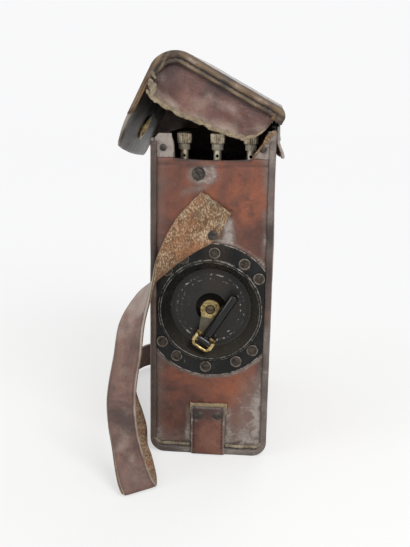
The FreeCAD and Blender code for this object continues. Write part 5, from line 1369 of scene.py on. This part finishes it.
def build_flange_heads():
    """The flange's rivets: flat heads, each with a raised ring round a shallow dome."""
    seat = -FACE - 1.6
    profile = [(2.1, seat - high("flange_ring", 1)), (2.1, 0.05), (4.6, 0.05), (4.85, 0.35),
               (4.8, 1.25), (4.4, 1.6), (3.9, 1.55), (3.55, 1.15), (3.0, 1.2), (1.6, 1.65),
               (0.3, 1.8)]
    lumps, centres = [], []
    for turn in RIVET_TURNS:
        angle = math.radians(turn + RIVET_START)
        centre = Vector((RIVET_CIRCLE * math.sin(angle), seat,
                         CRANK_Z + RIVET_CIRCLE * math.cos(angle)))
        lumps.append(lathed(profile, centre, (0, -1, 0), 32))
        centres.append(centre)

    def ring(p):
        return hump(min(math.hypot(p.x - c.x, p.z - c.z) for c in centres) - 4.35, 0.45)
    make("flange_heads", lumps, [HEADS], "telephone", ["flange_rivets"], ring,
         lambda p: 0.4 * ease(ring(p), 0.1, 0.0))


for build in (build_wrap, build_near_end, build_far_end, build_welts, build_tab, build_lid,
              build_lid_trim, build_hinge_leather, build_strap, build_nuts, build_flange_heads,
              build_crank_trim):
    build()


# ---------------------------------------------------------------- camera, light and floor

camera = placed("camera", bpy.data.cameras.new("camera"))
bpy.context.scene.camera = camera
PITCH, YAW, ROLL = math.radians(13), math.radians(5), math.radians(0.9)
FRAME_HIGH, FOCAL = 547, 771                   # the photo's height and the lens, in pixels
camera.data.sensor_fit = "VERTICAL"
camera.data.sensor_height = 36
camera.data.lens = 36 * FOCAL / FRAME_HIGH
camera.data.clip_end = 30
ahead = Vector((-math.sin(YAW) * math.cos(PITCH), math.cos(YAW) * math.cos(PITCH),
                -math.sin(PITCH)))
side = Vector((math.cos(YAW), math.sin(YAW), 0))
over = side.cross(ahead)
right = math.cos(ROLL) * side + math.sin(ROLL) * over
above = math.cos(ROLL) * over - math.sin(ROLL) * side
camera.matrix_world = Matrix.Translation(Vector((48.2, -697.7, 297.0)) * MM) @ \
    Matrix((right, above, -ahead)).transposed().to_4x4()


def lamp(name, place, aim, size, power):
    """A square soft box that shines from one point towards another, both in metres."""
    data = bpy.data.lights.new(name, "AREA")
    data.size, data.energy = size, power
    item = placed(name, data)
    item.location = place
    item.rotation_euler = (Vector(aim) - Vector(place)).to_track_quat("-Z", "Y").to_euler()


lamp("key", (0.75, -1.1, 1.25), (0, 0, 0.13), 0.8, 17)
lamp("fill", (-1.3, -1.0, 0.8), (0, 0, 0.13), 1.0, 8)
lamp("back", (0.3, 1.3, 1.3), (0, 0, 0.2), 1.0, 8)

BACKDROP = (0.945, 0.945, 0.955, 1)

# The floor turns into the backdrop with distance, for the camera's own rays only.
paper = Look("floor", 0.9, Base_Color=linear((236, 236, 235)))
reach = paper.node("ShaderNodeVectorMath", {0: paper.place}, operation="LENGTH")
far = paper.step(reach.outputs["Value"], 0.12, 1.1)
glow = paper.node("ShaderNodeEmission", {
    "Color": paper.ramp(far, (0, (1, 1, 1, 1)), (1, BACKDROP)),
    "Strength": far * 0.015 + 0.985})
seen = Value(paper, paper.node("ShaderNodeLightPath").outputs["Is Camera Ray"])
blend = paper.node("ShaderNodeMixShader", {
    0: seen * (far * 0.44 + 0.55), 1: paper.shader.outputs[0], 2: glow.outputs[0]})
paper.wire(blend.outputs[0], paper.tree.nodes["Material Output"].inputs["Surface"])
mesh = bpy.data.meshes.new("floor")
mesh.from_pydata([(-6, -6, 0), (6, -6, 0), (6, 6, 0), (-6, 6, 0)], [], [(0, 1, 2, 3)])
mesh.materials.append(paper.material)
floor = placed("floor", mesh)

# The world lights softly, and shows the backdrop to the camera and to reflections.
world = bpy.data.worlds.new("studio")
bpy.context.scene.world = world
world.use_nodes = True
sky = Graph(world.node_tree)
sky.tree.nodes.clear()
rays = sky.node("ShaderNodeLightPath").outputs
shown = sky.math("MAXIMUM", rays["Is Camera Ray"], rays["Is Glossy Ray"])
soft = sky.node("ShaderNodeBackground", {"Color": (1, 1, 1, 1), "Strength": 0.55})
white = sky.node("ShaderNodeBackground", {"Color": BACKDROP, "Strength": 1.0})
choose = sky.node("ShaderNodeMixShader", {0: shown, 1: soft.outputs[0], 2: white.outputs[0]})
sky.node("ShaderNodeOutputWorld", {0: choose.outputs[0]})
bpy.context.scene.view_settings.view_transform = "Standard"
